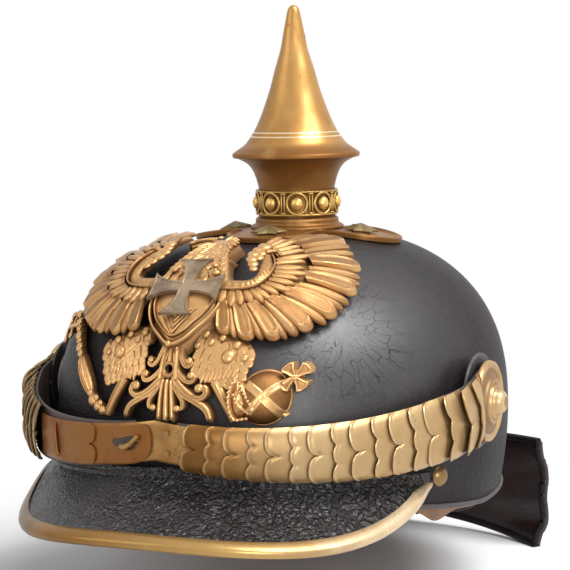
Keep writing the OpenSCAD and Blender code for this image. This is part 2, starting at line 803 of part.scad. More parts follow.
// Rosettes, their screws and nuts
cockade_r = 20;
cockade_t = 1.4;
cockade_lift = skin(side_angle(-rosette_y + cockade_r), belly_z)[0] - left_x + 0.25;
chain_near = cockade_lift + cockade_t + seat;
stack_chain = chain_near + backing_t + 0.9;
module rosette(side) {
    color("#c79a4b")
    at_rosette(side)
        translate([0, 0, stack_chain])
            rotate_extrude($fn = 96)
                polygon([[screw_r + 0.05, 0], [rosette_r, 0], [rosette_r, 1.4], [rosette_r - 1.6, 2.6],
                         [rosette_r - 3, 2.2], [rosette_r - 3.6, 3.6], [rosette_r - 6.2, 4.6],
                         [rosette_r - 7, 4], [rosette_r - 7.6, 5.4], [rosette_r - 10, 6],
                         [5.4, 5.4], [5, rosette_h - 2.2], [3.6, rosette_h - 0.6],
                         [screw_r + 0.05, rosette_h - 0.2]]);
}
module rosette_left() { rosette(1); }
module rosette_right() { rosette(-1); }
screw_in = 6;
screw_low = 0.4;
module rosette_screws() {
    color("#d4a857")
    for (side = [-1, 1])
        at_rosette(side)
            translate([0, 0, -skull_wall - screw_in])
                cylinder(r = screw_r, $fn = 32,
                         h = skull_wall + screw_in + stack_chain + rosette_h - screw_low);
}
module rosette_nuts() {
    color("#8d7a55")
    for (side = [-1, 1])
        at_rosette(side)
            translate([0, 0, -skull_wall - 4.6])
                nut(screw_r, 6, 3);
}

// Cockades under the chain
module cockade(side) {
    at_rosette(side)
        translate([0, 0, cockade_lift])
            difference() {
                cylinder(r = cockade_r, h = cockade_t, $fn = 96);
                translate([0, 0, -1])
                    cylinder(r = screw_r + 0.05, h = 5, $fn = 32);
            }
}
module cockade_left() { color("#1d1d1f") cockade(1); }
module cockade_right() { color("#8e2b26") cockade(-1); }

// Route of the chin chain round the front, by the angle q from the forehead
rosette_q = 90 - abs(side_angle(-rosette_y));
hook_q = 5;
plate_q = 38;
function chain_z(q) = let (a = abs(q))
    a > 35 ? chain_low_z + (rosette_z - chain_low_z) * pow((a - 35) / (rosette_q - 35), 2)
           : chain_low_z + 5.5 * pow((35 - a) / 35, 2);
function chain_at(q) =
    let (u = -90 + q, far = (skull_half_w + chain_gap) * girth(rosette_z, 0) * cos(u),
         flat = sign(q) * (left_x + chain_near),
         near = smooth((abs(q) - 62) / (rosette_q - 62)))
    [mix(far, flat, near), skull_mid_y + (skull_half_l + chain_gap) * sin(u), chain_z(q)];
function chain_dir(q) = unit(chain_at(q + 0.5) - chain_at(q - 0.5));
function chain_h(q) = mix(scale_low_h, scale_high_h, abs(q) / rosette_q);

// Leather backing from the end plate to the rosette
backing_steps = 26;
function backing_section(q) =
    let (p = chain_at(q), d = chain_dir(q), n = unit([d[1], -d[0], 0]), h = chain_h(q) / 2 - 0.6)
    [p + n * backing_t - [0, 0, h], p + n * backing_t + [0, 0, h], p + [0, 0, h], p - [0, 0, h]];
module chain_leather(side) {
    difference() {
        union() {
            loft([for (k = [0 : backing_steps])
                let (a = side * hook_q, b = side * (rosette_q - 1))
                backing_section(mix(max(a, b), min(a, b), k / backing_steps))]);
            at_rosette(side)
                translate([0, 0, chain_near])
                    cylinder(r = 11, h = backing_t, $fn = 64);
        }
        at_rosette(side)
            cylinder(r = screw_r + 0.3, h = 12, $fn = 32);
    }
}
module left_chain_leather() { color("#5a4030") chain_leather(1); }
module right_chain_leather() { color("#5a4030") chain_leather(-1); }

// One scale: a bowed plate whose lobed edge faces the hook
scale_bow_r = 34;
function lobes(h, count) =
    let (w = h / count)
    [for (k = [0 : count - 1]) each
        [for (a = [0 : 30 : 150]) [-(w * 0.34) * sin(a) , -h / 2 + w * (k + 0.5) - w / 2 * cos(a)]]];
module scale_plate(h, length, count) {
    intersection() {
        rotate([90, 0, 90])
            translate([0, 0, -length])
                linear_extrude(length * 2)
                    bowed(h);
        translate([0, 0, -3])
            linear_extrude(12)
                polygon(concat([for (p = lobes(h, count)) [p[0] - length + 3, p[1]]],
                    [[-length + 3, h / 2], [0, h / 2], [0, -h / 2], [-length + 3, -h / 2]]));
    }
}
module bowed(h) {
    intersection() {
        translate([0, -scale_bow_r])
            difference() {
                circle(r = scale_bow_r + scale_t, $fn = 96);
                circle(r = scale_bow_r, $fn = 96);
            }
        translate([0, scale_t - 5])
            square([h, 10.2], center = true);
    }
}
module scales(side) {
    count = side > 0 ? left_scale_count : right_scale_count;
    first = (side > 0 ? hook_q + 1.8 : plate_q) + 7;
    for (k = [0 : count - 1]) {
        q = mix(first, rosette_q - 3, k / (count - 1));
        h = chain_h(q);
        p = chain_at(side * q);
        d = chain_dir(side * q) * side;
        turn = atan2(d[1], d[0]);
        climb = asin(d[2]);
        translate(p)
            rotate([0, 0, turn])
                rotate([0, -climb, 0])
                    rotate([side * 90, 0, 0])
                        translate([0, 0, backing_t + pow(h, 2) / (8 * scale_bow_r) + seat])
                            rotate([0, scale_tilt, 0])
                                scale_plate(h, scale_l, k % 2 == 0 ? 2 : 3);
    }
}
module clear_of_rosette(side) {
    difference() {
        children();
        at_rosette(side)
            cylinder(r = rosette_r + 0.4, h = 40, $fn = 96);
    }
}
module left_chain_scales() { color("#c8a064") clear_of_rosette(1) scales(1); }
module right_chain_scales() { color("#b08c50") clear_of_rosette(-1) scales(-1); }

// End plates that hook together over the forehead, where the right one laps the left
end_plate_t = 1;
plate_lift = 0.2;
lap_lift = 1.6;
lap_q = 6;
plate_end_q = 0.5;
module end_plate(q0, q1, raised) {
    steps = 20;
    loft([for (k = [0 : steps])
        let (q = mix(q1, q0, k / steps), p = chain_at(q), d = chain_dir(q),
             n = unit([d[1], -d[0], 0]), h = scale_low_h / 2,
             a = backing_t + mix(plate_lift, lap_lift, raised * smooth((q + lap_q + 5) / 4)),
             b = a + end_plate_t)
        [p + n * b - [0, 0, h], p + n * b + [0, 0, h], p + n * a + [0, 0, h],
         p + n * a - [0, 0, h]]]);
}
module left_end_plate() {
    color("#b98f4a") end_plate(-lap_q, hook_q + 1.8, 0);
}
module right_end_plate() {
    color("#b98f4a") end_plate(-plate_q, -plate_end_q, 1);
}
module chain_rivets() {
    color("#d4a857")
    for (z = [-4, 4])
        translate(chain_at(3) + [0, -backing_t - plate_lift - end_plate_t - 0.2, z])
            rotate([90, 0, 0])
                cylinder(r = 1.2, h = 0.8, $fn = 24);
}

// Sweatband inside the rim
function band_section(u) =
    let (low = rim_level(u) - 6, foot = rim_level(u) + 2, high = low + band_h,
         line = [[low, -skull_wall - 1], [foot, -skull_wall - seat], [high, -skull_wall - band_gap]])
    concat([for (p = line) skin(u, p[0], p[1])],
           [for (k = [2 : -1 : 0]) skin(u, line[k][0], line[k][1] - band_t)]);
module sweatband() {
    color("#a97a4a")
        loft([for (i = [0 : ring_stations - 1]) band_section(-i * 360 / ring_stations)], true);
}

// Silk lining, gathered to an opening under the crown
silk_rows = 5;
silk_stations = 64;
function silk_section(u) =
    let (low = rim_level(u) + band_h - 12, edge = -skull_wall - band_gap - band_t - seat,
         fold = 1.6 * cos(u * gathers),
         gaps = [for (k = [0 : silk_rows]) k == 0 ? edge : edge - 8 + fold * k / silk_rows])
    concat([skin(u, low, edge)],
           [for (k = [1 : silk_rows]) dome(u, k * 66 / silk_rows, gaps[k])],
           [for (k = [silk_rows : -1 : 1]) dome(u, k * 66 / silk_rows, gaps[k] - silk_t)],
           [skin(u, low, edge - silk_t)]);
module silk_lining() {
    color("#6b4638")
        loft([for (i = [0 : silk_stations - 1]) silk_section(-i * 360 / silk_stations)], true);
}

skull();
front_visor();
visor_trim();
trim_studs();
neck_guard();
rear_spine();
spine_studs();
base_cross();
star_studs();
stud_nuts();
spike_neck();
pearl_ring();
spike();
eagle_plate();
eagle_nuts();
silver_cross();
cross_pins();
rosette_left();
rosette_right();
rosette_screws();
rosette_nuts();
cockade_left();
cockade_right();
left_chain_scales();
left_chain_leather();
left_end_plate();
right_chain_scales();
right_chain_leather();
right_end_plate();
chain_rivets();
sweatband();
silk_lining();
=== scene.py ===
import math

import bmesh
import bpy
from mathutils import Matrix, Vector


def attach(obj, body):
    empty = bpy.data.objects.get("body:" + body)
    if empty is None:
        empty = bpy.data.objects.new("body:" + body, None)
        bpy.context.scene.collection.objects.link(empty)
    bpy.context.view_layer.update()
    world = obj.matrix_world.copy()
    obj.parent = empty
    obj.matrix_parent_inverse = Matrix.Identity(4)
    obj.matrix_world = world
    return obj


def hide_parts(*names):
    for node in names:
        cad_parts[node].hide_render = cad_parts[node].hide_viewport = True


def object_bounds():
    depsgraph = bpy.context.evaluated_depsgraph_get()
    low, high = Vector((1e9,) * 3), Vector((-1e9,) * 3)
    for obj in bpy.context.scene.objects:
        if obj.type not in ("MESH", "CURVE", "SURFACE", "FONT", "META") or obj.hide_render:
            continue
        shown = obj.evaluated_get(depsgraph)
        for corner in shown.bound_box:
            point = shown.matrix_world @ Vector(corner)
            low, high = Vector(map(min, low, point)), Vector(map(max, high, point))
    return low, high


bl_info = {
    "name": "Spiked dress helmet",
    "version": (1, 0, 0),
    "blender": (4, 5, 0),
    "location": "3D View > Sidebar > Helmet",
    "description": "Dresses the packed helmet with leather, gilt relief, chin chain and stage",
    "category": "Object",
}

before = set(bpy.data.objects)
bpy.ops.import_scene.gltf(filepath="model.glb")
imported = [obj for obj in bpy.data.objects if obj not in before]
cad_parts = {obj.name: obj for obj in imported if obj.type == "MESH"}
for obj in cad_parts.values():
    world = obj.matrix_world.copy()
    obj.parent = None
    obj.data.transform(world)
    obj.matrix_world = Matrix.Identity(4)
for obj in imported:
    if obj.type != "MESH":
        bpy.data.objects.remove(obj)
cad_box = [list(corner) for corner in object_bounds()]


# Sizes and colours a user would change

def length(label, about, millimetres):
    return bpy.props.FloatProperty(
        name=label, description=about, default=millimetres / 1000, precision=4, unit="LENGTH")


def share(label, about, value):
    return bpy.props.FloatProperty(
        name=label, description=about, default=value, min=0, subtype="FACTOR")


def shade(label, about, colour):
    return bpy.props.FloatVectorProperty(
        name=label, description=about, default=colour, size=3, min=0, max=1, subtype="COLOR")


class HelmetSizes(bpy.types.PropertyGroup):
    """Sizes of the dressed helmet, the same as the solids have"""

    half_width: length("Skull half width", "Half width of the leather skull", 96.5)
    half_length: length("Skull half length", "Half length of the leather skull", 115)
    mid_y: length("Skull middle", "How far the skull's middle lies in front of the origin", -0.8)
    belly_z: length("Belly level", "Level of the widest girth", 38)
    crown_z: length("Crown level", "Level of the top of the leather", 116.5)
    crown_back: length("Crown draw", "How far the crown is drawn back", 10)
    crown_power: bpy.props.FloatProperty(
        name="Crown fullness", description="Power of the skull's upright curve", default=2.45)
    side_power: bpy.props.FloatProperty(
        name="Side fullness", description="Power of the skull's rounding", default=2.7)
    rim_tuck: share("Rim tuck", "Share by which the skull draws in to the rim", 0.07)
    wall: length("Leather", "Thickness of the skull leather", 3)
    rim_z: length("Rim level", "Level of the rim beside the ears", 2)
    rim_rise: length("Rim rise", "Rise of the rim towards the forehead", 18)
    visor_wall: length("Visor leather", "Thickness of the visor leather", 2.6)
    visor_front: length("Visor reach", "How far the visor's edge lies before the origin", 151.5)
    visor_end_y: length("Visor ends", "How far the visor's ends lie before the origin", 51.5)
    visor_end_w: length("Visor end width", "How far the visor's ends stand out", 2)
    visor_skew: length("Visor skew", "How far age has pulled the visor aside", 4)
    visor_edge_z: length("Visor edge level", "Level of the visor's front edge", 8.5)
    visor_dip: length("Visor dip", "How far the corners hang below the front edge", 19)
    visor_end_z: length("Visor end level", "Level of the visor's ends", 21.5)
    seam_front_z: length("Seam level", "Level of the visor's seam at the forehead", 33)
    trim_w: length("Edging width", "Width of the folded brass edging", 5.5)
    guard_wall: length("Guard leather", "Thickness of the neck guard", 2.6)
    guard_top_z: length("Guard top", "Level of the neck guard's top edge", 10)
    guard_low_z: length("Guard bottom", "Level of the neck guard's bottom edge", -33)
    guard_flare: length("Guard flare", "How far the bottom edge stands out", 15)
    guard_spring: length("Guard spring", "How far the torn end has sprung off", 27)
    guard_sag: length("Guard sag", "How much lower the torn end hangs", 7)
    spike_y: length("Spike place", "How far the spike's axis lies behind the origin", 14)
    spike_h: length("Spike height", "Height of the spike over its rim", 67.8)
    spike_rim_r: length("Spike rim", "Radius of the spike's rim", 28.6)
    neck_top_z: length("Neck mouth", "Level of the neck's mouth", 149.2)
    neck_r: length("Neck radius", "Radius of the neck behind the pearl ring", 17)
    base_reach: length("Base reach", "Reach of the base plate's arms", 49)
    base_arm_w: length("Base arm", "Width of the base plate's arms", 37)
    star_pitch_r: length("Star pitch", "Distance of the star studs from the axis", 30.4)
    star_r: length("Star radius", "Radius of a star stud over its points", 8.2)
    star_h: length("Star height", "Height of a star stud", 3.8)
    rosette_y: length("Rosette place", "How far the rosettes lie before the origin", 22)
    rosette_z: length("Rosette level", "Level of the rosettes", 49.5)
    rosette_r: length("Rosette radius", "Radius of the rosettes", 17)
    rosette_h: length("Rosette height", "Height of a rosette's boss", 9)
    scale_low_h: length("Low scale", "Height of the scale next to the hook", 17)
    scale_high_h: length("High scale", "Height of the scale under the rosette", 29)
    scale_l: length("Scale length", "Length of a scale", 14)
    chain_low_z: length("Chain level", "Level of the chain's lowest stretch", 40)
    chain_gap: length("Chain gap", "Distance from the skull to the chain", 8.5)
    relief: length("Eagle relief", "How far the eagle stands over the skull", 10)
    cross_w: length("Cross width", "Width of the silver cross", 30)
    orb_r: length("Orb radius", "Radius of the orb", 10.4)
    band_h: length("Band height", "Height of the sweatband", 40)
    left_scales: bpy.props.IntProperty(
        name="Left scales", description="Scales on the left half of the chain", default=16)
    right_scales: bpy.props.IntProperty(
        name="Right scales", description="Scales on the right half of the chain", default=10)
    pearls: bpy.props.IntProperty(
        name="Pearls", description="Pearls round the ring", default=9)


class HelmetColours(bpy.types.PropertyGroup):
    """Colours of the helmet's finishes"""

    leather: shade("Skull leather", "Lacquered black leather", (0.009, 0.0066, 0.0072))
    scuff: shade("Leather scuffs", "Worn grey of the lacquer", (0.04, 0.029, 0.031))
    lining: shade("Guard lining", "Maroon leather inside the neck guard", (0.02, 0.0045, 0.005))
    tan: shade("Sweatband", "Tan sweatband leather", (0.27, 0.13, 0.055))
    strap: shade("Chain leather", "Leather behind the scales", (0.045, 0.026, 0.018))
    silk: shade("Silk", "Faded silk of the lining", (0.2, 0.09, 0.05))
    gilt: shade("Gilding", "Bright gilding of the eagle", (0.56, 0.325, 0.137))
    gilt_brown: shade("Gilding patina", "Brown in the gilding's hollows", (0.2, 0.09, 0.03))
    brass: shade("Spike brass", "Gilt brass of the spike", (0.48, 0.265, 0.085))
    # This brown serves as the spike's patina and as its painted shade, on the -X side and low down.
    brass_brown: shade("Spike patina", "Brown cast of the spike", (0.2, 0.085, 0.022))
    copper: shade("Copper spots", "Spots where the gilding has gone", (0.24, 0.055, 0.018))
    scales: shade("Scale brass", "Pale satin brass of the scales", (0.47, 0.325, 0.165))
    edging: shade("Edging brass", "Polished brass of the visor's edging", (0.5, 0.32, 0.12))
    bronze: shade("Star bronze", "Dark greenish bronze of the stars", (0.26, 0.185, 0.08))
    silver: shade("Silver", "Tarnished silver of the cross", (0.36, 0.27, 0.18))
    red: shade("Red cockade", "Red paint of the right cockade", (0.3, 0.03, 0.02))


def mix(a, b, t):
    return a + (b - a) * t


def smooth(t):
    c = min(1, max(0, t))
    return c * c * (3 - 2 * c)


def bump_at(t, middle, width):
    """A soft hump of height 1 about a middle."""
    return math.exp(-((t - middle) / width) ** 2)


class Form:
    """The helmet's surfaces in millimetres, from the same rules as the solids."""

    def __init__(self, sizes):
        for name in HelmetSizes.__annotations__:
            value = getattr(sizes, name)
            whole = name in ("crown_power", "side_power", "rim_tuck", "left_scales",
                             "right_scales", "pearls")
            setattr(self, name, value if whole else value * 1000)
        self.seat = 0.3
        self.base_t = 1.2
        self.foot_z = self.crown_z + self.seat + self.base_t + 0.3
        self.pearl_low = self.foot_z + 5.3
        self.pearl_high = self.foot_z + 17
        self.end_u = abs(self.side_angle(-self.visor_end_y))
        end_x = self.skin(-self.end_u, self.visor_end_z)[0]
        self.visor_half_w = end_x + self.visor_end_w
        self.left_x = self.skin(self.side_angle(-self.rosette_y), self.rosette_z)[0]
        self.cockade_r, self.cockade_t = 20, 1.4
        cockade_edge = self.skin(self.side_angle(self.cockade_r - self.rosette_y), self.belly_z)[0]
        self.cockade_lift = cockade_edge - self.left_x + 0.25
        self.chain_near = self.cockade_lift + self.cockade_t + self.seat
        self.backing_t = 1.4
        self.hook_q, self.plate_q = 5, 38
        self.scale_bow_r = 34
        self.screw_r = 2.2
        self.band_t, self.band_gap = 1.4, 3
        self.stack = self.chain_near + self.backing_t + 0.9
        self.rosette_q = 90 - abs(self.side_angle(-self.rosette_y))
        self.chain_bend_q, self.chain_turn_q, self.chain_rise = 35, 62, 5.5
        self.brow_lean, self.brow_y, self.brow_z = math.radians(39), -75, 84

    def rise(self, z, gap):
        return min(1, max(0, (z - self.belly_z) / (self.crown_z + gap - self.belly_z)))

    def girth(self, z, gap=0):
        if z > self.belly_z:
            return max(0, 1 - self.rise(z, gap) ** self.crown_power) ** (1 / self.side_power)
        return 1 - self.rim_tuck * ((self.belly_z - z) / 48) ** 1.8

    def back_shift(self, z, gap=0):
        return self.crown_back * self.rise(z, gap) ** 8

    def side_angle(self, y):
        return math.degrees(math.asin((y - self.mid_y) / self.half_length))

    def skin(self, u, z, gap=0):
        """A point of the skin at angle u round the head, -90 at the forehead."""
        k, a = self.girth(z, gap), math.radians(u)
        return Vector(((self.half_width + gap) * k * math.cos(a),
                       self.mid_y + self.back_shift(z, gap)
                       + (self.half_length + gap) * k * math.sin(a), z))

    def dome(self, u, v, gap=0):
        """The same skin by latitude v, from 0 at the belly to 90 at the crown."""
        a, b = math.radians(u), math.radians(v)
        height = self.crown_z + gap - self.belly_z
        z = self.belly_z + height * math.sin(b) ** (2 / self.crown_power)
        k = math.cos(b) ** (2 / self.side_power)
        return Vector(((self.half_width + gap) * k * math.cos(a),
                       self.mid_y + self.back_shift(z, gap)
                       + (self.half_length + gap) * k * math.sin(a), z))

    def outward(self, u):
        a = math.radians(u)
        way = Vector((math.cos(a) / self.half_width, math.sin(a) / self.half_length, 0))
        return way.normalized()

    def rim_level(self, u):
        return self.rim_z + self.rim_rise * max(0, -math.sin(math.radians(u))) ** 1.3

    def crown_at(self, x, y, gap=0):
        """The point of the crown over x and y."""
        level, shift = self.crown_z, self.crown_back
        for _ in range(2):
            k = math.hypot(x / (self.half_width + gap),
                           (y - self.mid_y - shift) / (self.half_length + gap))
            level = self.belly_z + (self.crown_z + gap - self.belly_z) * max(
                0, 1 - k ** self.side_power) ** (1 / self.crown_power)
            shift = self.back_shift(level, gap)
        return Vector((x, y, level))

    def crown_normal(self, x, y):
        return Vector((self.crown_at(x - 1, y).z - self.crown_at(x + 1, y).z,
                       self.crown_at(x, y - 1).z - self.crown_at(x, y + 1).z, 2)).normalized()

    def at_star(self, k):
        """Place and tilt of one of the four star studs on the crown."""
        a = math.radians(90 * k)
        x = self.star_pitch_r * math.cos(a)
        y = self.spike_y + self.star_pitch_r * math.sin(a)
        turn = Vector((0, 0, 1)).rotation_difference(self.crown_normal(x, y))
        return Matrix.Translation(self.crown_at(x, y)) @ turn.to_matrix().to_4x4()

    def at_rosette(self, side):
        place = Vector((side * self.left_x, -self.rosette_y, self.rosette_z))
        return Matrix.Translation(place) @ Matrix.Rotation(math.radians(side * 90), 4, "Y")

    def front_at(self, x, z, gap):
        """The point of the front over x and z, a gap outside the leather."""
        k = self.girth(z, gap)
        c = min(0.999, abs(x) / ((self.half_width + gap) * k))
        depth = (self.half_length + gap) * k * math.sqrt(1 - c * c)
        return Vector((x, self.mid_y + self.back_shift(z, gap) - depth, z))

    def brow_at(self, x, t, gap):
        """The point of the skin over x and t of a plane that leans with the brow."""
        c, s = math.cos(self.brow_lean), math.sin(self.brow_lean)
        start = Vector((x, self.brow_y + t * c, self.brow_z + t * s))
        way = Vector((0, -s, c))
        inside, outside = -45.0, 95.0
        for _ in range(24):
            middle = (inside + outside) / 2
            p = start + way * middle
            forth = p.y - self.mid_y - self.back_shift(p.z, gap)
            k = math.hypot(p.x / (self.half_width + gap), forth / (self.half_length + gap))
            if p.z < self.crown_z + gap and k < self.girth(p.z, gap):
                inside = middle
            else:
                outside = middle
        return start + way * outside

    def chain_z(self, q):
        """The chain's level: it rises to the rosettes and a little over the forehead."""
        a, bend = abs(q), self.chain_bend_q
        if a > bend:
            share_up = ((a - bend) / (self.rosette_q - bend)) ** 2
            return self.chain_low_z + (self.rosette_z - self.chain_low_z) * share_up
        return self.chain_low_z + self.chain_rise * ((bend - a) / bend) ** 2

    def chain_at(self, q):
        """The chain's inner face at angle q from the forehead."""
        a = math.radians(q - 90)
        far = (self.half_width + self.chain_gap) * self.girth(self.rosette_z) * math.cos(a)
        flat = math.copysign(self.left_x + self.chain_near, q)
        near = smooth((abs(q) - self.chain_turn_q) / (self.rosette_q - self.chain_turn_q))
        y = self.mid_y + (self.half_length + self.chain_gap) * math.sin(a)
        return Vector((mix(far, flat, near), y, self.chain_z(q)))

    def chain_dir(self, q):
        return (self.chain_at(q + 0.5) - self.chain_at(q - 0.5)).normalized()

    def chain_h(self, q):
        return mix(self.scale_low_h, self.scale_high_h, abs(q) / self.rosette_q)


# Mesh building with bmesh operators, in millimetres

def grid(columns, rows, place, closed=False, relief=None):
    """A grid whose vertices are moved to place(s, t), with s and t from 0 to 1."""
    shape = bmesh.new()
    bmesh.ops.create_grid(shape, x_segments=columns, y_segments=rows, size=0.5, calc_uvs=True)
    uv = shape.loops.layers.uv.verify()
    level = shape.verts.layers.float.new("relief")
    for v in shape.verts:
        s, t = v.co.x + 0.5, v.co.y + 0.5
        for loop in v.link_loops:
            loop[uv].uv = (s, t)
        v[level] = relief(s, t) if relief else 0.5
        v.co = place(s, t)
    if closed:
        bmesh.ops.remove_doubles(shape, verts=shape.verts, dist=1e-4)
    return shape


def faced(shape, measure):
    """Turns an open sheet to the side that measure, summed over its faces, makes positive."""
    bmesh.ops.recalc_face_normals(shape, faces=shape.faces)
    if sum(measure(face) for face in shape.faces) < 0:
        bmesh.ops.reverse_faces(shape, faces=shape.faces)
    return shape


def put(shape, pose):
    """Moves a shape by a matrix."""
    bmesh.ops.transform(shape, matrix=pose, verts=shape.verts)
    return shape


def oval(x, y, wide, high, steps, *level):
    """Points of an oval in the flat, each with a height if one is given."""
    return [(x + wide * math.cos(a), y + high * math.sin(a), *level)
            for a in (math.tau * k / steps for k in range(steps))]


def swept(sections, ring=False):
    """A skin over a row of closed sections, one grid with its ends filled."""
    n, m = len(sections), len(sections[0])
    columns = n if ring else n - 1

    def place(s, t):
        return Vector(sections[round(s * columns) % n][round(t * m) % m])

    shape = grid(columns, m, place, closed=True)
    if not ring:
        bmesh.ops.holes_fill(shape, edges=[e for e in shape.edges if e.is_boundary])
    bmesh.ops.recalc_face_normals(shape, faces=shape.faces)
    return shape


def tube(points, radius, ring=False, sides=10):
    """A round cord of leather or wire along some points; radius may differ along it."""
    n = len(points)
    sections = []
    for k, p in enumerate(points):
        before = points[(k - 1) % n] if ring or k else points[0]
        after = points[(k + 1) % n] if ring or k < n - 1 else points[-1]
        way = (Vector(after) - Vector(before)).normalized()
        side = way.cross(Vector((0, 0, 1)))
        side = side.normalized() if side.length > 0.05 else Vector((1, 0, 0))
        up = side.cross(way)
        r = radius(k / (n - 1)) if callable(radius) else radius
        sections.append([Vector(p) + (side * math.cos(a) + up * math.sin(a)) * r
                         for a in (math.tau * j / sides for j in range(sides))])
    return swept(sections, ring)


def turned(profile, steps=128):
    """A profile of radius and height, spun round the upright axis."""
    shape = bmesh.new()
    line = [shape.verts.new((r, 0, z)) for r, z in profile]
    edges = [shape.edges.new(pair) for pair in zip(line, line[1:])]
    bmesh.ops.spin(shape, geom=line + edges, cent=(0, 0, 0), axis=(0, 0, 1), dvec=(0, 0, 0),
                   angle=math.tau, steps=steps, use_merge=True, use_duplicate=False)
    bmesh.ops.remove_doubles(shape, verts=shape.verts, dist=1e-4)
    bmesh.ops.recalc_face_normals(shape, faces=shape.faces)
    return shape


def rounded(profile, steps=4):
    """The same profile with each inner corner turned into a short curve."""
    points = [Vector(p) for p in profile]
    out = [points[0]]
    for a, b, c in zip(points, points[1:], points[2:]):
        reach = min((b - a).length, (c - b).length) * 0.45
        start, end = b + (a - b).normalized() * reach, b + (c - b).normalized() * reach
        for k in range(steps + 1):
            t = k / steps
            out.append(start * (1 - t) ** 2 + b * 2 * t * (1 - t) + end * t * t)
    return [tuple(p) for p in out + [points[-1]]]


def curve_points(points, steps=8):
    """A smooth line through a few points, as wide as the points have numbers."""
    p = [Vector(q) for q in points]
    p = [p[0] * 2 - p[1]] + p + [p[-1] * 2 - p[-2]]
    out = []
    for a, b, c, d in zip(p, p[1:], p[2:], p[3:]):
        for k in range(steps):
            t = k / steps
            out.append((b * 2 + (c - a) * t + (a * 2 - b * 5 + c * 4 - d) * t * t
                        + (b * 3 - a - c * 3 + d) * t ** 3) / 2)
    return out + [p[-2]]


def append(whole, part):
    """Adds a part to a shape and frees the part."""
    sheet = bpy.data.meshes.new("part")
    part.to_mesh(sheet)
    part.free()
    whole.from_mesh(sheet)
    bpy.data.meshes.remove(sheet)


def joined(shapes):
    """Several shapes as one, each kept as it is."""
    whole = bmesh.new()
    whole.verts.layers.float.new("relief")
    whole.loops.layers.uv.verify()
    for shape in shapes:
        append(whole, shape)
    return whole


def piece(name, shape, finishes, body="helmet", replaces=(), sharp=40):
    """Makes a shape in millimetres a piece of the scene that rides on a body."""
    bmesh.ops.scale(shape, vec=(0.001, 0.001, 0.001), verts=shape.verts)
    sheet = bpy.data.meshes.new(name)
    shape.to_mesh(sheet)
    shape.free()
    thing = bpy.data.objects.new(name, sheet)
    bpy.context.scene.collection.objects.link(thing)
    for finish in finishes if isinstance(finishes, (list, tuple)) else [finishes]:
        sheet.materials.append(finish)
    sheet.shade_smooth()
    sheet.set_sharp_from_angle(angle=math.radians(sharp))
    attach(thing, body)
    if replaces:
        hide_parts(*replaces)
    return thing


def with_wall(thing, millimetres):
    """Gives a piece's open skin a wall on its inner side."""
    wall = thing.modifiers.new("Wall", "SOLIDIFY")
    wall.thickness = millimetres / 1000
    wall.offset = -1
    return wall


def ball(shape, place, size, around, rings):
    """Adds a ball to a shape, drawn out along its three axes."""
    return bmesh.ops.create_uvsphere(shape, u_segments=around, v_segments=rings, radius=1,
                                     matrix=place @ Matrix.Diagonal((*size, 1)))["verts"]


def bead(shape, place, radius, flat, segments):
    """Adds a small bright lump to a shape."""
    level = shape.verts.layers.float.get("relief") or shape.verts.layers.float.new("relief")
    for v in ball(shape, place, (radius, radius, radius * flat), segments, segments // 2):
        v[level] = 0.9
    return shape


# Finishes: sockets that sums can be written on, and one method that makes any node

class Wire:
    """A node's output, on which sums are written as plain expressions."""

    def __init__(self, finish, node, output=0):
        self.finish, self.node, self.output = finish, node, output

    def __getitem__(self, output):
        return Wire(self.finish, self.node, output)

    def socket(self):
        return self.node.outputs[self.output]

    def sum(self, operation, a, b):
        return self.finish.sum_of(operation, a, b)

    def __add__(self, other):
        return self.sum("ADD", self, other)

    def __sub__(self, other):
        return self.sum("SUBTRACT", self, other)

    def __rsub__(self, other):
        return self.sum("SUBTRACT", other, self)

    def __mul__(self, other):
        return self.sum("MULTIPLY", self, other)

    def __pow__(self, other):
        return self.sum("POWER", self, other)

    __radd__ = __add__
    __rmul__ = __mul__

    def most(self, other):
        return self.sum("MAXIMUM", self, other)


class Nodes:
    """A tree of nodes, cleared and then built node by node."""

    def __init__(self, owner):
        owner.use_nodes = True
        self.tree = owner.node_tree
        self.tree.nodes.clear()

    def node(self, kind, settings=None, inputs=None):
        """Adds a node: its settings first, then the values or links of its sockets."""
        made = self.tree.nodes.new(kind)
        for name, value in (settings or {}).items():
            setattr(made, name, value)
        for name, value in (inputs or {}).items():
            if isinstance(value, Wire):
                self.tree.links.new(value.socket(), made.inputs[name])
            else:
                made.inputs[name].default_value = value
        return Wire(self, made)

    def sum_of(self, operation, *values):
        """A Math node's result on one, two or three values."""
        return self.node("ShaderNodeMath", {"operation": operation}, dict(enumerate(values)))

    def vector(self, operation, *values):
        """A Vector Math node's result."""
        return self.node("ShaderNodeVectorMath", {"operation": operation},
                         dict(enumerate(values)))

    def seen(self):
        """1 on rays that show the background: from the camera, in gloss or through glass."""
        rays = self.node("ShaderNodeLightPath")
        return rays["Is Camera Ray"].most(rays["Is Glossy Ray"]).most(rays["Is Transmission Ray"])


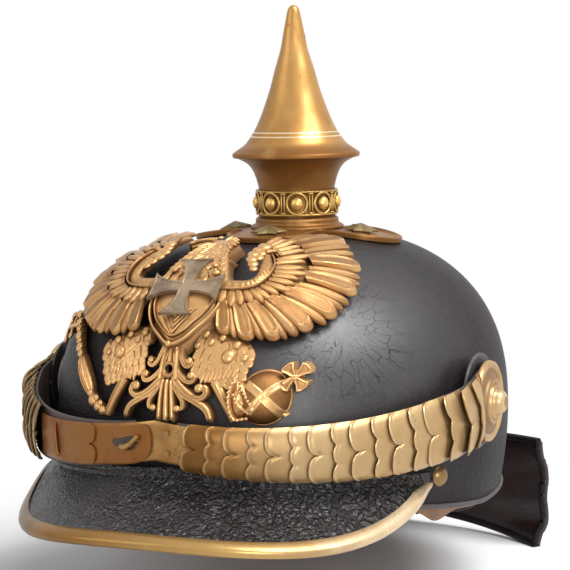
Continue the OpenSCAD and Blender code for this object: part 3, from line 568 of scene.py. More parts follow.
class Finish(Nodes):
    """One material round a Principled shader."""

    def __init__(self, name):
        self.material = bpy.data.materials.new(name)
        super().__init__(self.material)
        self.shader = self.node("ShaderNodeBsdfPrincipled")
        self.output = self.node("ShaderNodeOutputMaterial", None, {"Surface": self.shader})
        self.place = self.node("ShaderNodeTexCoord")["Object"]

    def set(self, **values):
        """Values or links of the shader's own sockets, by names with underscores."""
        for name, value in values.items():
            socket = self.shader.node.inputs[name.replace("_", " ")]
            if isinstance(value, Wire):
                self.tree.links.new(value.socket(), socket)
            else:
                socket.default_value = value
        return self.material

    def scaled(self, *scale):
        """Object coordinates, drawn together or out along the axes."""
        return self.node("ShaderNodeMapping", None, {"Vector": self.place, "Scale": scale})

    def noise(self, scale, detail=4.0, roughness=0.55, vector=None):
        return self.node("ShaderNodeTexNoise", None, {
            "Vector": vector or self.place, "Scale": scale, "Detail": detail,
            "Roughness": roughness})

    def cells(self, scale, vector):
        """Distance to the edges of irregular cells."""
        return self.node("ShaderNodeTexVoronoi", {"feature": "DISTANCE_TO_EDGE"},
                         {"Vector": vector, "Scale": scale})["Distance"]

    def step(self, value, low, high):
        """A smooth step of a value from low to high."""
        return self.node("ShaderNodeMapRange", {"interpolation_type": "SMOOTHSTEP"},
                         {"Value": value, "From Min": low, "From Max": high})

    def distance(self, centre, axes=(1, 1, 1)):
        """Distance from a centre, along the axes that count."""
        away = self.vector("MULTIPLY", self.vector("SUBTRACT", self.place, centre), axes)
        return self.vector("LENGTH", away)["Value"]

    def blend(self, mask, a, b):
        """A colour between a and b."""
        colours = [c if isinstance(c, Wire) else (*c, 1) for c in (a, b)]
        return self.node("ShaderNodeMix", {"data_type": "RGBA"},
                         {0: mask, 6: colours[0], 7: colours[1]})[2]

    def warped(self, amount, scale, vector=None):
        """Coordinates pushed about by a noise."""
        base = vector or self.place
        push = self.noise(scale, 3.0, 0.5, base)["Color"]
        push = self.vector("SUBTRACT", push, (0.5, 0.5, 0.5))
        return self.vector("ADD", base, self.vector("MULTIPLY", push, (amount,) * 3))

    def attribute(self, name):
        return self.node("ShaderNodeAttribute", {"attribute_name": name})["Fac"]

    def axis(self, vector, name):
        return self.node("ShaderNodeSeparateXYZ", None, {0: vector})[name]

    def bump(self, height, strength, distance):
        return self.node("ShaderNodeBump", None, {
            "Height": height, "Strength": strength, "Distance": distance})


# Leathers and cloth

def paint(name):
    """A colour of the sidebar's list, as plain numbers."""
    return tuple(getattr(bpy.context.scene.helmet_colours, name))


def crazing(finish, centre, across, up):
    """Fine cracks that run out from a place and round it, as a web does: 1 in a crack."""
    away = finish.vector("SUBTRACT", finish.warped(0.006, 90), centre)
    parts = [finish.vector("DOT_PRODUCT", away, way)["Value"] for way in (across, up)]
    angle = finish.sum_of("ARCTAN2", parts[1], parts[0])
    radius = (parts[0] * parts[0] + parts[1] * parts[1]) ** 0.5
    web = finish.node("ShaderNodeCombineXYZ", None, {
        "X": angle * 6, "Y": (radius * 40 + 0.4) ** 0.6 * 4.5, "Z": 0.0})
    lines = finish.cells(1.15, web)
    near = (1 - finish.step(radius, 0.018, 0.036)) * finish.step(radius, 0.002, 0.008)
    return (1 - finish.step(lines, 0.006, 0.034)) * near


def skull_leather():
    """Lacquered black leather with a fine pebble, crazed over the wearer's left brow."""
    f = Finish("lacquered_leather")
    grain = f.noise(240, 6.0, 0.65)["Fac"]
    fine = f.cells(620, f.warped(0.003, 300))
    web = crazing(f, (0.058, -0.078, 0.086), (0.86, 0.5, 0.1), (-0.1, 0.35, 0.93))
    patches = f.step(f.noise(14, 3.0)["Fac"], 0.5, 0.64)
    hair = (1 - f.step(f.cells(300, f.warped(0.008, 110)), 0.008, 0.04)) * patches
    cracks = (web * 0.75).most(hair * 0.35)
    pores = (1 - f.step(fine, 0.02, 0.22)) * 0.4
    smears = f.noise(26, 5.0, 0.62, f.scaled(1, 1, 0.35))["Fac"]
    scuffs = f.step(smears, 0.44, 0.8)
    nicks = f.step(f.noise(260, 2.0)["Fac"], 0.73, 0.77)
    colour = f.blend(scuffs * 0.6, paint("leather"), paint("scuff"))
    colour = f.blend(cracks, colour, (0.003, 0.002, 0.002))
    colour = f.blend(nicks * 0.35, colour, (0.12, 0.1, 0.1))
    fresh = 1 - f.step(f.distance((0.068, -0.08, 0.075)), 0.02, 0.09)
    broken = (1 - cracks * 0.8) * (0.72 + grain * 0.5)
    relief = grain * 1.2 + f.noise(60, 3.0)["Fac"] * 0.25 - cracks * 0.7 - pores * 0.5
    return f.set(Base_Color=colour, Specular_IOR_Level=0.12, Normal=f.bump(relief, 0.8, 0.0007),
                 Roughness=0.42 + scuffs * 0.12 + cracks * 0.25 + pores * 0.1,
                 Coat_Weight=(0.02 + fresh * 0.85) * broken, Coat_Roughness=0.42, Coat_IOR=1.7)


def visor_leather():
    """Thick lacquer that has shrunk into small raised flakes, coarser at the middle."""
    f = Finish("crackled_visor")
    flakes = f.cells(300, f.warped(0.016, 80, f.scaled(1, 0.8, 0.6)))
    small = f.cells(420, f.warped(0.006, 200))
    region = f.step(f.noise(16, 3.0)["Fac"], 0.4, 0.6)
    cracks = (1 - f.step(flakes, 0.01, 0.06)) * (region * 0.7 + 0.1)
    hair = (1 - f.step(small, 0.02, 0.14)) * (1 - region * 0.6)
    wear = f.step(f.noise(34, 5.0, 0.6)["Fac"], 0.42, 0.7)
    colour = f.blend(wear * 0.55, paint("leather"), paint("scuff"))
    fresh = f.step(f.axis(f.place, "X"), -0.06, 0.05)
    colour = f.blend(cracks.most(hair * 0.5), colour, (0.003, 0.002, 0.002))
    lifted = f.step(flakes, 0.0, 0.22) * (region * 0.8 + 0.2)
    relief = lifted * 1.2 - hair * 0.4 + f.noise(85, 5.0, 0.65)["Fac"] * 1.6
    return f.set(Base_Color=colour, Specular_IOR_Level=0.6, Normal=f.bump(relief, 1.0, 0.0009),
                 Roughness=0.4 - fresh * 0.14 + wear * 0.08 + cracks * 0.3)


def soft_leather(name, colour, dark, grain=500, roughness=0.5, glaze=0.0):
    """Plain leather with pores, stains and a little glaze."""
    f = Finish(name)
    stains = f.step(f.noise(28, 5.0, 0.6)["Fac"], 0.38, 0.68)
    pores = f.cells(grain, f.warped(0.002, 400))
    creases = f.noise(70, 6.0, 0.65, f.scaled(1, 1, 0.3))["Fac"]
    base = f.blend(stains, colour, dark)
    base = f.blend((1 - f.step(pores, 0.02, 0.16)) * 0.35, base, dark)
    return f.set(Base_Color=base, Roughness=roughness + stains * 0.12, Coat_Weight=glaze,
                 Coat_Roughness=0.25, Normal=f.bump(pores * 0.4 + creases, 0.5, 0.0007))


def woven_silk(colour):
    """Thin silk with a fine cross weave that follows the cloth."""
    f = Finish("faded_silk")
    sheet = f.node("ShaderNodeTexCoord")["UV"]
    warp, weft = (f.node("ShaderNodeTexWave", {"bands_direction": way}, {
        "Vector": sheet, "Scale": scale, "Distortion": 0.6, "Detail": 1.0})["Fac"]
                  for way, scale in (("X", 150.0), ("Y", 60.0)))
    stains = f.step(f.noise(22, 5.0)["Fac"], 0.4, 0.7)
    base = f.blend(stains * 0.6, colour, tuple(0.45 * c for c in colour))
    base = f.blend(warp * weft * 0.4, base, tuple(min(1, 1.7 * c) for c in colour))
    return f.set(Base_Color=base, Roughness=0.42 + stains * 0.2, Sheen_Weight=0.35,
                 Sheen_Roughness=0.4, Normal=f.bump(warp + weft, 0.25, 0.0002))


# Metals: a share of plain shade stands for the film of tarnish and old lacquer
metal_share = 0.62


def metal(finish, colour, roughness, surface):
    """Sets up a metal and gives back its material."""
    return finish.set(Base_Color=colour, Roughness=roughness, Normal=surface,
                      Metallic=metal_share, Specular_IOR_Level=0.1)


def spun_brass(name, lines=False):
    """Spun gilt brass with a brown cast, copper spots and turning marks, and painted shade that
    darkens its -X side and all below the spike's foot.
    """
    f = Finish(name)
    height = f.axis(f.place, "Z")
    turning = f.noise(900, 2.0, 0.6, f.node("ShaderNodeCombineXYZ", None, {"Z": height}))["Fac"]
    cast = f.step(f.noise(24, 4.0, 0.6, f.scaled(1, 1, 0.45))["Fac"], 0.36, 0.66)
    # Painted shade: the side towards -X is made dark brown.
    painted_side_shade = 1 - f.step(f.axis(f.place, "X") + (cast - 0.5) * 0.006, -0.022, 0.004)
    # Painted shade: below the spike's foot, on its lip, the neck and the base plate, the brass is
    # made dark brown for a dark reflection.
    low = (1 - f.step(height, 0.1525, 0.1585)) * 1.25
    # From here cast holds the brown patina patches and both painted shades.
    cast = cast.most(painted_side_shade).most(low)
    spots = f.step(f.noise(190, 3.0, 0.6)["Fac"], 0.62, 0.7) * f.step(f.noise(45)["Fac"], 0.48, 0.6)
    rubbed = f.step(f.noise(70, 5.0)["Fac"], 0.5, 0.75)
    colour = f.blend(cast * 0.75, paint("brass"), paint("brass_brown"))
    colour = f.blend(rubbed * 0.35, colour, (0.62, 0.38, 0.15))
    colour = f.blend(spots * 0.8, colour, paint("copper"))
    rough = 0.27 + cast * 0.1 + spots * 0.25 + turning * 0.08
    if lines:
        rings = [f.sum_of("COMPARE", height, level, 0.00026) for level in (0.1607, 0.1589)]
        ring = rings[0].most(rings[1])
        colour = f.blend(ring * 0.8, colour, (0.8, 0.68, 0.46))
        rough = rough * (1 - ring * 0.5)
    relief = turning * 0.35 + f.noise(300, 3.0)["Fac"] * 0.3 - spots * 0.3
    return metal(f, colour, rough, f.bump(relief, 0.25, 0.0002))


def gilt_relief():
    """Gilding on stamped relief: bright on the crests, brown in the hollows."""
    f = Finish("gilt_relief")
    level = f.attribute("relief")
    tarnish = f.noise(60, 5.0, 0.65)["Fac"]
    crest = f.step(level + (tarnish - 0.5) * 0.55, 0.28, 0.78)
    brown = f.step(f.noise(32, 4.0)["Fac"], 0.46, 0.64)
    grime = f.step(f.noise(170, 3.0, 0.6)["Fac"], 0.64, 0.74)
    colour = f.blend(crest, paint("gilt_brown"), paint("gilt"))
    colour = f.blend(brown * (1 - crest) * 0.6, colour, (0.3, 0.2, 0.11))
    colour = f.blend(brown * 0.3, colour, (0.48, 0.25, 0.09))
    colour = f.blend(grime * 0.5, colour, (0.1, 0.05, 0.03))
    return metal(f, colour, 0.46 - crest * 0.17 + grime * 0.2,
                 f.bump(f.noise(420, 4.0, 0.6)["Fac"] + f.noise(130, 3.0)["Fac"], 0.35, 0.0004))


def feather_gilt():
    """The same gilding with a quill and slanting barbs on each feather."""
    f = Finish("gilt_feathers")
    uv = f.node("ShaderNodeTexCoord")["UV"]
    along, across = f.axis(uv, "X"), f.axis(uv, "Y")
    side = f.sum_of("ABSOLUTE", across - 0.5, 0)
    barbs = f.sum_of("SINE", (along - side * 0.55) * 120, 0) * 0.5 + 0.5
    inside = 1 - f.step(side, 0.26, 0.34)
    level = f.attribute("relief")
    tarnish = f.noise(75, 5.0, 0.65)["Fac"]
    crest = f.step(level + (tarnish - 0.5) * 0.6, 0.3, 0.8)
    panel = inside * f.step(f.noise(40, 3.0)["Fac"], 0.4, 0.6)
    colour = f.blend(crest, paint("gilt_brown"), paint("gilt"))
    colour = f.blend(panel * 0.7, colour, (0.3, 0.175, 0.085))
    stain = f.step(f.noise(26, 4.0, 0.6)["Fac"], 0.44, 0.64)
    colour = f.blend(stain * 0.4, colour, (0.4, 0.2, 0.065))
    colour = f.blend(inside * (1 - barbs) * 0.3, colour, (0.16, 0.08, 0.03))
    height = barbs * inside * 0.5 + f.noise(260, 4.0)["Fac"] * 0.6
    return metal(f, colour, 0.44 - crest * 0.16 + panel * 0.08, f.bump(height, 0.4, 0.0003))


def plate_brass(name, colour, brown, dullness=0.3, spread=0.5, front=()):
    """Sheet brass that differs from plate to plate, brown in patches; painted light and shade come
    from front, by X, and from the relief attribute.
    """
    f = Finish(name)
    # Painted light and shade: each entry of front blends its colour in on one side of X, pale for a
    # painted highlight, dark for painted shade.
    for start, end, tarnish in front:
        painted_light_side = 1 - f.step(f.axis(f.place, "X") + f.noise(50)["Fac"] * 0.016, start, end)
        colour = f.blend(painted_light_side, colour, tarnish)
    each = f.node("ShaderNodeNewGeometry")["Random Per Island"]
    patches = f.step(f.noise(48, 5.0, 0.6)["Fac"], 0.42, 0.72)
    specks = f.step(f.noise(330, 2.0)["Fac"], 0.68, 0.76)
    level = f.attribute("relief")
    # Painted shade where the relief attribute is low, as under the next scale, and a painted
    # highlight where it is high, on the free rims.
    hollow = 1 - f.step(level, 0.05, 0.5)
    rim = f.step(level, 0.86, 0.97)
    hairline = f.noise(240, 3.0, 0.5, f.scaled(1, 1, 0.06))["Fac"]
    base = f.blend(patches * spread + each * 0.22, colour, brown)
    base = f.blend(hollow * 0.75, base, tuple(0.45 * c for c in brown))
    base = f.blend(rim * 0.2, base, (0.72, 0.52, 0.3))
    base = f.blend(specks * 0.4, base, tuple(0.3 * c for c in brown))
    return metal(f, base, dullness + patches * 0.1 + hairline * 0.08,
                 f.bump(hairline + f.noise(90, 3.0)["Fac"] * 0.7, 0.18, 0.0003))


def dull_metal(name, colour, dark, dullness=0.42):
    """Metal dulled by age, darker in patches and pitted."""
    f = Finish(name)
    patches = f.step(f.noise(90, 5.0, 0.65)["Fac"], 0.36, 0.66)
    pits = f.step(f.noise(420, 2.0)["Fac"], 0.64, 0.74)
    base = f.blend(patches, colour, dark)
    base = f.blend(pits * 0.5, base, tuple(0.4 * c for c in dark))
    return metal(f, base, dullness + patches * 0.14,
                 f.bump(f.noise(380, 4.0)["Fac"] - pits * 0.6, 0.3, 0.0003))


def painted(name, colour, centre=None):
    """Old enamel on tin, chipped and dusty; with a centre, in rings of colour, white, black."""
    f = Finish(name)
    if centre:
        radius = f.distance(centre, (0, 1, 1))
        colour = f.blend(f.step(radius, 0.0098, 0.0102), colour, (0.5, 0.47, 0.42))
        colour = f.blend(f.step(radius, 0.0148, 0.0152), colour, (0.012, 0.011, 0.012))
    dust = f.step(f.noise(60, 5.0)["Fac"], 0.45, 0.7)
    chips = f.step(f.noise(260, 3.0)["Fac"], 0.67, 0.71)
    base = f.blend(dust * 0.3, colour, (0.2, 0.18, 0.16))
    base = f.blend(chips, base, (0.3, 0.2, 0.12))
    return f.set(Base_Color=base, Roughness=0.35 + dust * 0.25,
                 Normal=f.bump(f.noise(160, 4.0)["Fac"] - chips, 0.3, 0.0003))


# Leather pieces

def helmet_form():
    return Form(bpy.context.scene.helmet_sizes)


class HELMET_OT_skull(bpy.types.Operator):
    """Leather skull with its rolled rim"""

    bl_idname = "helmet.skull"
    bl_label = "Skull"

    def execute(self, context):
        form = helmet_form()
        vent_r, foot_share = 12, 0.2
        top = math.degrees(math.acos((vent_r / form.half_width) ** (form.side_power / 2)))

        def place(s, t):
            u = 360 * s
            if t < foot_share:
                return form.skin(u, mix(form.rim_level(u), form.belly_z, t / foot_share))
            return form.dome(u, top * (t - foot_share) / (1 - foot_share))

        shape = grid(180, 80, place, closed=True)
        bmesh.ops.recalc_face_normals(shape, faces=shape.faces)
        skull = piece("dress_skull", shape, skull_leather(),
                      replaces=["skull"])
        with_wall(skull, form.wall)
        roll = [form.skin(360 * k / 180, form.rim_level(360 * k / 180) + 1.2, 0.25)
                for k in range(180)]
        worn = soft_leather("worn_rim", (0.03, 0.025, 0.026), (0.07, 0.058, 0.055), 300, 0.5)
        piece("rim_roll", tube(roll, 1.1, ring=True), worn)
        return {"FINISHED"}


def visor_line(form, th):
    """The visor's lower line at one station: three points that bend it, and its way out."""
    side_power, front_power = 2.63, 1.86
    share_out = abs(th) / 90
    z = mix(form.seam_front_z, form.visor_end_z + 3, share_out ** 1.2)
    seam = form.skin(-90 + th * (90 - form.end_u) / 90, z, form.seat + 0.2)
    a = math.radians(th)
    reach_y = form.visor_front - form.visor_end_y
    side = math.copysign(abs(math.sin(a)) ** (2 / side_power), th)
    edge = Vector((
        form.visor_skew * math.cos(a) + form.visor_half_w * side,
        -form.visor_end_y - reach_y * max(0, math.cos(a)) ** (2 / front_power),
        form.visor_edge_z - form.visor_dip * math.sin(a) ** 2
        + (form.visor_end_z - form.visor_edge_z + form.visor_dip) * share_out ** 2.5))
    level = Vector((edge.x - seam.x, edge.y - seam.y, 0))
    reach, out = level.length, level.normalized()
    foot = [(0, seam.z - 5), (min(3, reach / 3), seam.z - 8.5), (reach, edge.z)]
    return seam, out, [Vector(p) for p in foot]


def visor_point(form, th, t, over):
    """A point of the visor: t from the seam to the edge, over the lower face."""
    flap_share, flap_h = 0.12, 5
    seam, out, (a, b, c) = visor_line(form, th)
    if t < flap_share:
        return seam + out * over - Vector((0, 0, flap_h * t / flap_share))
    t = (t - flap_share) / (1 - flap_share)
    p = a * (1 - t) ** 2 + b * 2 * t * (1 - t) + c * t * t
    way = ((b - a) * (1 - t) + (c - b) * t).normalized()
    p = p + Vector((-way.y, way.x)) * over if t else Vector((over, p.y))
    return Vector((seam.x + out.x * p.x, seam.y + out.y * p.x, p.y))


class HELMET_OT_visor(bpy.types.Operator):
    """Squared front visor with its seam, lining and stitches"""

    bl_idname = "helmet.visor"
    bl_label = "Front visor"

    def execute(self, context):
        form = helmet_form()
        stations, rows = 120, 36
        sections = []
        for k in range(stations + 1):
            th = mix(-89.6, 89.6, k / stations)
            upper = [visor_point(form, th, j / rows, form.visor_wall
                                 + 0.4 * math.sin(0.21 * k + 1) * bump_at(j / rows, 0.6, 0.3))
                     for j in range(rows + 1)]
            lower = [visor_point(form, th, j / rows, 0) for j in range(rows, -1, -1)]
            sections.append(upper + lower)
        shape = swept(sections)
        for face in shape.faces:
            face.material_index = int(face.normal.z < -0.3)
        piece("dress_visor", shape, [visor_leather(), lining_leather()],
              replaces=["front_visor"])
        stitches = bmesh.new()
        for k in range(96):
            th = mix(-84, 84, k / 95)
            seam, out, _ = visor_line(form, th)
            along = Vector((-out.y, out.x, 0))
            spin = Matrix.Rotation(math.atan2(along.y, along.x), 4, "Z")
            p = seam + out * (form.visor_wall + 0.15) - Vector((0, 0, 2.2))
            ball(stitches, Matrix.Translation(p) @ spin, (0.85, 0.4, 0.4), 8, 6)
        piece("visor_stitches", stitches, strap_leather())
        return {"FINISHED"}


def lining_leather():
    dark = tuple(0.3 * c for c in paint("lining"))
    return soft_leather("maroon_lining", paint("lining"), dark, 420, 0.36, 0.1)


def strap_leather():
    return soft_leather("strap_leather", paint("strap"), (0.012, 0.008, 0.006), 500, 0.5)


class HELMET_OT_edging(bpy.types.Operator):
    """Folded brass edging of the visor and the studs at its ends"""

    bl_idname = "helmet.edging"
    bl_label = "Edging and studs"

    def execute(self, context):
        form = helmet_form()
        # The edging's colour holds painted light: a pale painted highlight towards +X, and painted
        # shade darkening towards -X, near black at the -X end.
        finish = plate_brass("edging_brass", paint("edging"), (0.3, 0.16, 0.045), 0.24, 0.5,
                             [(0.1, 0.055, (0.78, 0.62, 0.42)), (-0.03, 0.06, (0.2, 0.1, 0.026)),
                              (-0.052, -0.034, (0.04, 0.024, 0.012))])
        sections = []
        for k in range(121):
            th = mix(-89.4, 89.4, k / 120)
            seam, out, (a, b, c) = visor_line(form, th)
            way = (c - b).normalized()
            over = Vector((-way.y, way.x))
            w = min(form.trim_w, (c - a).length * 0.5)
            top, low = form.visor_wall + 0.75, -0.75
            line = [(-w, form.visor_wall + 0.1), (-w, form.visor_wall + 0.5), (-w + 0.5, top),
                    (-w * 0.5, top + 0.25), (-0.2, top), (0.7, top - 0.75),
                    (1.05, form.visor_wall / 2), (0.7, low + 0.75), (-0.2, low), (-w, low),
                    (-w, -0.1), (0.05, -0.05), (0.05, form.visor_wall + 0.05)]
            sections.append([
                Vector((seam.x + out.x * p.x, seam.y + out.y * p.x, p.y))
                for p in (c + way * x + over * y for x, y in line)])
        shape = swept(sections)
        piece("dress_edging", shape, finish, replaces=["visor_trim"], sharp=50)
        studs = []
        stud_y = form.visor_end_y - 2.2
        stud_u = form.side_angle(-stud_y)
        for side in (-1, 1):
            p = form.skin(stud_u, form.visor_end_z + 1)
            n = form.outward(stud_u)
            way = Vector((side * n.x, n.y, 0))
            turn = Vector((0, 0, 1)).rotation_difference(way).to_matrix().to_4x4()
            place = Matrix.Translation((side * p.x, p.y, p.z)) @ turn
            foot = 3 * form.seat + form.visor_wall
            dome = [(0, foot + 2.75), (1.4, foot + 2.6), (2.7, foot + 2.0), (3.7, foot + 1.1),
                    (4.2, foot + 0.3), (4.2, foot), (0, foot)]
            studs.append(put(turned(rounded(dome, 3), 48), place))
        bright = plate_brass("stud_brass", (0.62, 0.42, 0.19), (0.36, 0.2, 0.07), 0.26, 0.3)
        piece("dress_trim_studs", joined(studs), bright,
              replaces=["trim_studs"], sharp=60)
        return {"FINISHED"}


class HELMET_OT_neck_guard(bpy.types.Operator):
    """Neck guard, sewn on behind and torn off at the wearer's left"""

    bl_idname = "helmet.neck_guard"
    bl_label = "Neck guard"

    def execute(self, context):
        form = helmet_form()
        sewn_end, torn_from, torn_end = 172, 82, 45

        def place(s, t):
            u = mix(sewn_end, torn_end, s)
            free = max(0, (torn_from - u) / (torn_from - torn_end))
            n = form.outward(u)
            off = form.guard_spring * free ** 1.35
            rise = 22 * max(0, (u - 120) / 52) ** 2
            low = form.guard_low_z - form.guard_sag * free ** 1.2 + rise
            foot = form.skin(u, form.guard_top_z, form.seat) + n * off
            flare = form.guard_flare * (1 - free) * low / form.guard_low_z
            z = mix(form.guard_top_z, low, t)
            out = flare * smooth(max(0, (t - 0.2) / 0.8)) ** 0.85
            curl = 2.6 * free * math.sin(3.1 * t) - 1.8 * free * bump_at(t, 0.95, 0.12)
            ripple = 0.7 * free * math.sin(14 * t + 16 * s)
            edge = max(0, s - 0.985) / 0.015
            z += edge * free * (0.9 * math.sin(31 * t) + 0.5 * math.sin(73 * t))
            p = foot + n * (out + curl + ripple)
            return Vector((p.x, p.y, z))

        shape = faced(grid(110, 34, place), lambda face: -face.normal.y)
        guard = piece("dress_neck_guard", shape, [lining_leather(), skull_leather()],
                      replaces=["neck_guard"])
        with_wall(guard, form.guard_wall).material_offset = 1
        hem = [place(k / 60, 0.0) + Vector((0, 0, 0.4)) for k in range(61)]
        foot = [place(k / 60, 0.995) for k in range(61)]
        end = [place(0.996, k / 30) for k in range(31)]
        rolls = [tube(line, 1.7) for line in (hem, foot)] + [tube(end, 1.5)]
        piece("guard_binding", joined(rolls), skull_leather())
        return {"FINISHED"}


class HELMET_OT_rear_spine(bpy.types.Operator):
    """Brass spine down the back of the skull and the guard"""

    bl_idname = "helmet.rear_spine"
    bl_label = "Rear spine"

    def execute(self, context):
        form = helmet_form()
        y0 = form.skin(90, form.guard_top_z, form.seat).y

        def on_guard(t):
            """A point of the guard's inner face at the middle of the back."""
            out = form.guard_flare * smooth(max(0, (t - 0.2) / 0.8)) ** 0.85
            return Vector((0, y0 + out, mix(form.guard_top_z, form.guard_low_z, t)))

        line = [form.skin(90, mix(form.crown_z - 12, form.guard_top_z + 8, k / 20), form.seat)
                for k in range(21)]
        line.append(Vector((0, y0 + form.guard_wall + form.seat, form.guard_top_z + 1)))
        for k in range(13):
            t = mix(0.06, 0.965, k / 12)
            way = on_guard(t + 0.01) - on_guard(t - 0.01)
            up = Vector((0, -way.z, way.y)).normalized()
            line.append(on_guard(t) + up * (form.guard_wall + 0.15))
        across = [(-6, 0), (-6, 0.5), (-5.3, 0.8), (-2.5, 0.95), (0, 1.0), (2.5, 0.95),
                  (5.3, 0.8), (6, 0.5), (6, 0)]
        sections = []
        for k, p in enumerate(line):
            way = line[min(k + 1, len(line) - 1)] - line[max(k - 1, 0)]
            up = Vector((0, -way.z, way.y)).normalized()
            up = up if up.y > 0 or up.z > 0 else -up
            sections.append([Vector((x, p.y, p.z)) + up * (h + 0.02) for x, h in across])
        finish = plate_brass("spine_brass", paint("edging"), (0.4, 0.22, 0.07), 0.28, 0.6)
        piece("dress_spine", swept(sections), finish, replaces=["rear_spine"],
              sharp=35)
        return {"FINISHED"}


# Brass of the crown

class HELMET_OT_base(bpy.types.Operator):
    """Cross-shaped base plate draped on the crown, and its faceted star studs"""

    bl_idname = "helmet.base"
    bl_label = "Base plate and stars"

    def execute(self, context):
        form = helmet_form()
        half = form.base_arm_w / 2
        reach = form.base_reach - half

        def edge_radius(angle):
            """The cross's outline, its inner corners filled by a disc."""
            folded = (angle + 45) % 90 - 45
            a = math.radians(abs(folded))
            across = half / math.sin(a) if a > 0.02 else 1e9
            if across * math.cos(a) > reach:
                across = reach * math.cos(a) + math.sqrt(
                    max(0, half ** 2 - (reach * math.sin(a)) ** 2))
            corner = form.base_arm_w * 0.66
            return max(corner, across) + 1.6 * bump_at(across, corner, 3)

        lines = [(0, 0), (0.35, 0), (0.6, 0), (0.8, 0), (0.9, 0.02), (0.93, 0.25), (0.95, 0.8),
                 (0.965, 1.15), (0.985, 1.2), (0.998, 0.95), (1.0, 0.5), (1.0, -1.05),
                 (0.97, -1.05), (0.6, -1.05), (0, -1.05)]
        sections = []
        for k in range(240):
            angle = 360 * k / 240
            a = math.radians(angle)
            outer = edge_radius(angle)
            section = []
            for share_out, over in lines:
                r = mix(10, outer, share_out)
                x, y = r * math.cos(a), form.spike_y + r * math.sin(a)
                p = form.crown_at(x, y, form.seat + form.base_t)
                section.append(p + form.crown_normal(x, y) * over)
            sections.append(section)
        finish = spun_brass("base_brass")
        piece("dress_base", swept(sections, ring=True), finish,
              replaces=["base_cross"], sharp=50)
        stars = []
        for k in range(4):
            star = bmesh.new()
            made = bmesh.ops.create_circle(star, segments=12, radius=form.star_r, cap_ends=True)
            for j, v in enumerate(made["verts"]):
                if j % 2:
                    v.co *= 0.6
            foot = bmesh.ops.extrude_face_region(star, geom=star.faces[:])
            top = [v for v in foot["geom"] if isinstance(v, bmesh.types.BMVert)]
            bmesh.ops.translate(star, verts=top, vec=(0, 0, 0.8))
            lid = [f for f in foot["geom"] if isinstance(f, bmesh.types.BMFace)]
            apex = bmesh.ops.poke(star, faces=lid)["verts"]
            bmesh.ops.translate(star, verts=apex, vec=(0, 0, form.star_h - 1))
            bmesh.ops.recalc_face_normals(star, faces=star.faces)
            ridges = [e for e in star.edges if len(e.link_faces) == 2
                      and e.calc_face_angle(0) > 0.15]
            bmesh.ops.bevel(star, geom=ridges, offset=0.22, offset_type="OFFSET", segments=2,
                            profile=0.5, affect="EDGES", material=-1, clamp_overlap=True)
            lift = Matrix.Translation((0, 0, form.seat + form.base_t + 0.3))
            spin = Matrix.Rotation(math.radians(15 * k), 4, "Z")
            stars.append(put(star, form.at_star(k) @ lift @ spin))
        bronze = dull_metal("star_bronze", paint("bronze"), (0.13, 0.1, 0.06), 0.36)
        piece("dress_stars", joined(stars), bronze, replaces=["star_studs"],
              sharp=25)
        return {"FINISHED"}


class HELMET_OT_neck(bpy.types.Operator):
    """Spun neck with its foot ring and flared mouth"""

    bl_idname = "helmet.neck"
    bl_label = "Neck"

    def execute(self, context):
        form = helmet_form()
        r, z, top = form.neck_r, form.foot_z, form.neck_top_z
        outer = [(r + 3.9, z - 0.4), (r + 3.9, z + 0.5), (r + 3.0, z + 1.1), (r + 2.0, z + 1.4),
                 (r + 1.6, z + 2.3), (r + 1.7, z + 3.4), (r + 1.2, z + 4.2), (r + 0.5, z + 4.5),
                 (r, z + 5.2), (r, form.pearl_high + 0.2), (r + 0.35, form.pearl_high + 1.8),
                 (r + 1.1, top - 9), (r + 2.6, top - 5.2), (r + 5.0, top - 2.2),
                 (r + 8.0, top - 0.7), (form.spike_rim_r - 2.4, top)]
        inner = [(rr - 1.2, zz - 0.3) for rr, zz in reversed(outer[9:-1])]
        profile = rounded(outer, 3) + [(form.spike_rim_r - 4.2, top)] + inner
        profile += [(r - 1.2, z - 0.4), outer[0]]
        shape = put(turned(profile), Matrix.Translation((0, form.spike_y, 0)))
        piece("dress_neck", shape, spun_brass("neck_brass"),
              replaces=["spike_neck"], sharp=60)
        return {"FINISHED"}


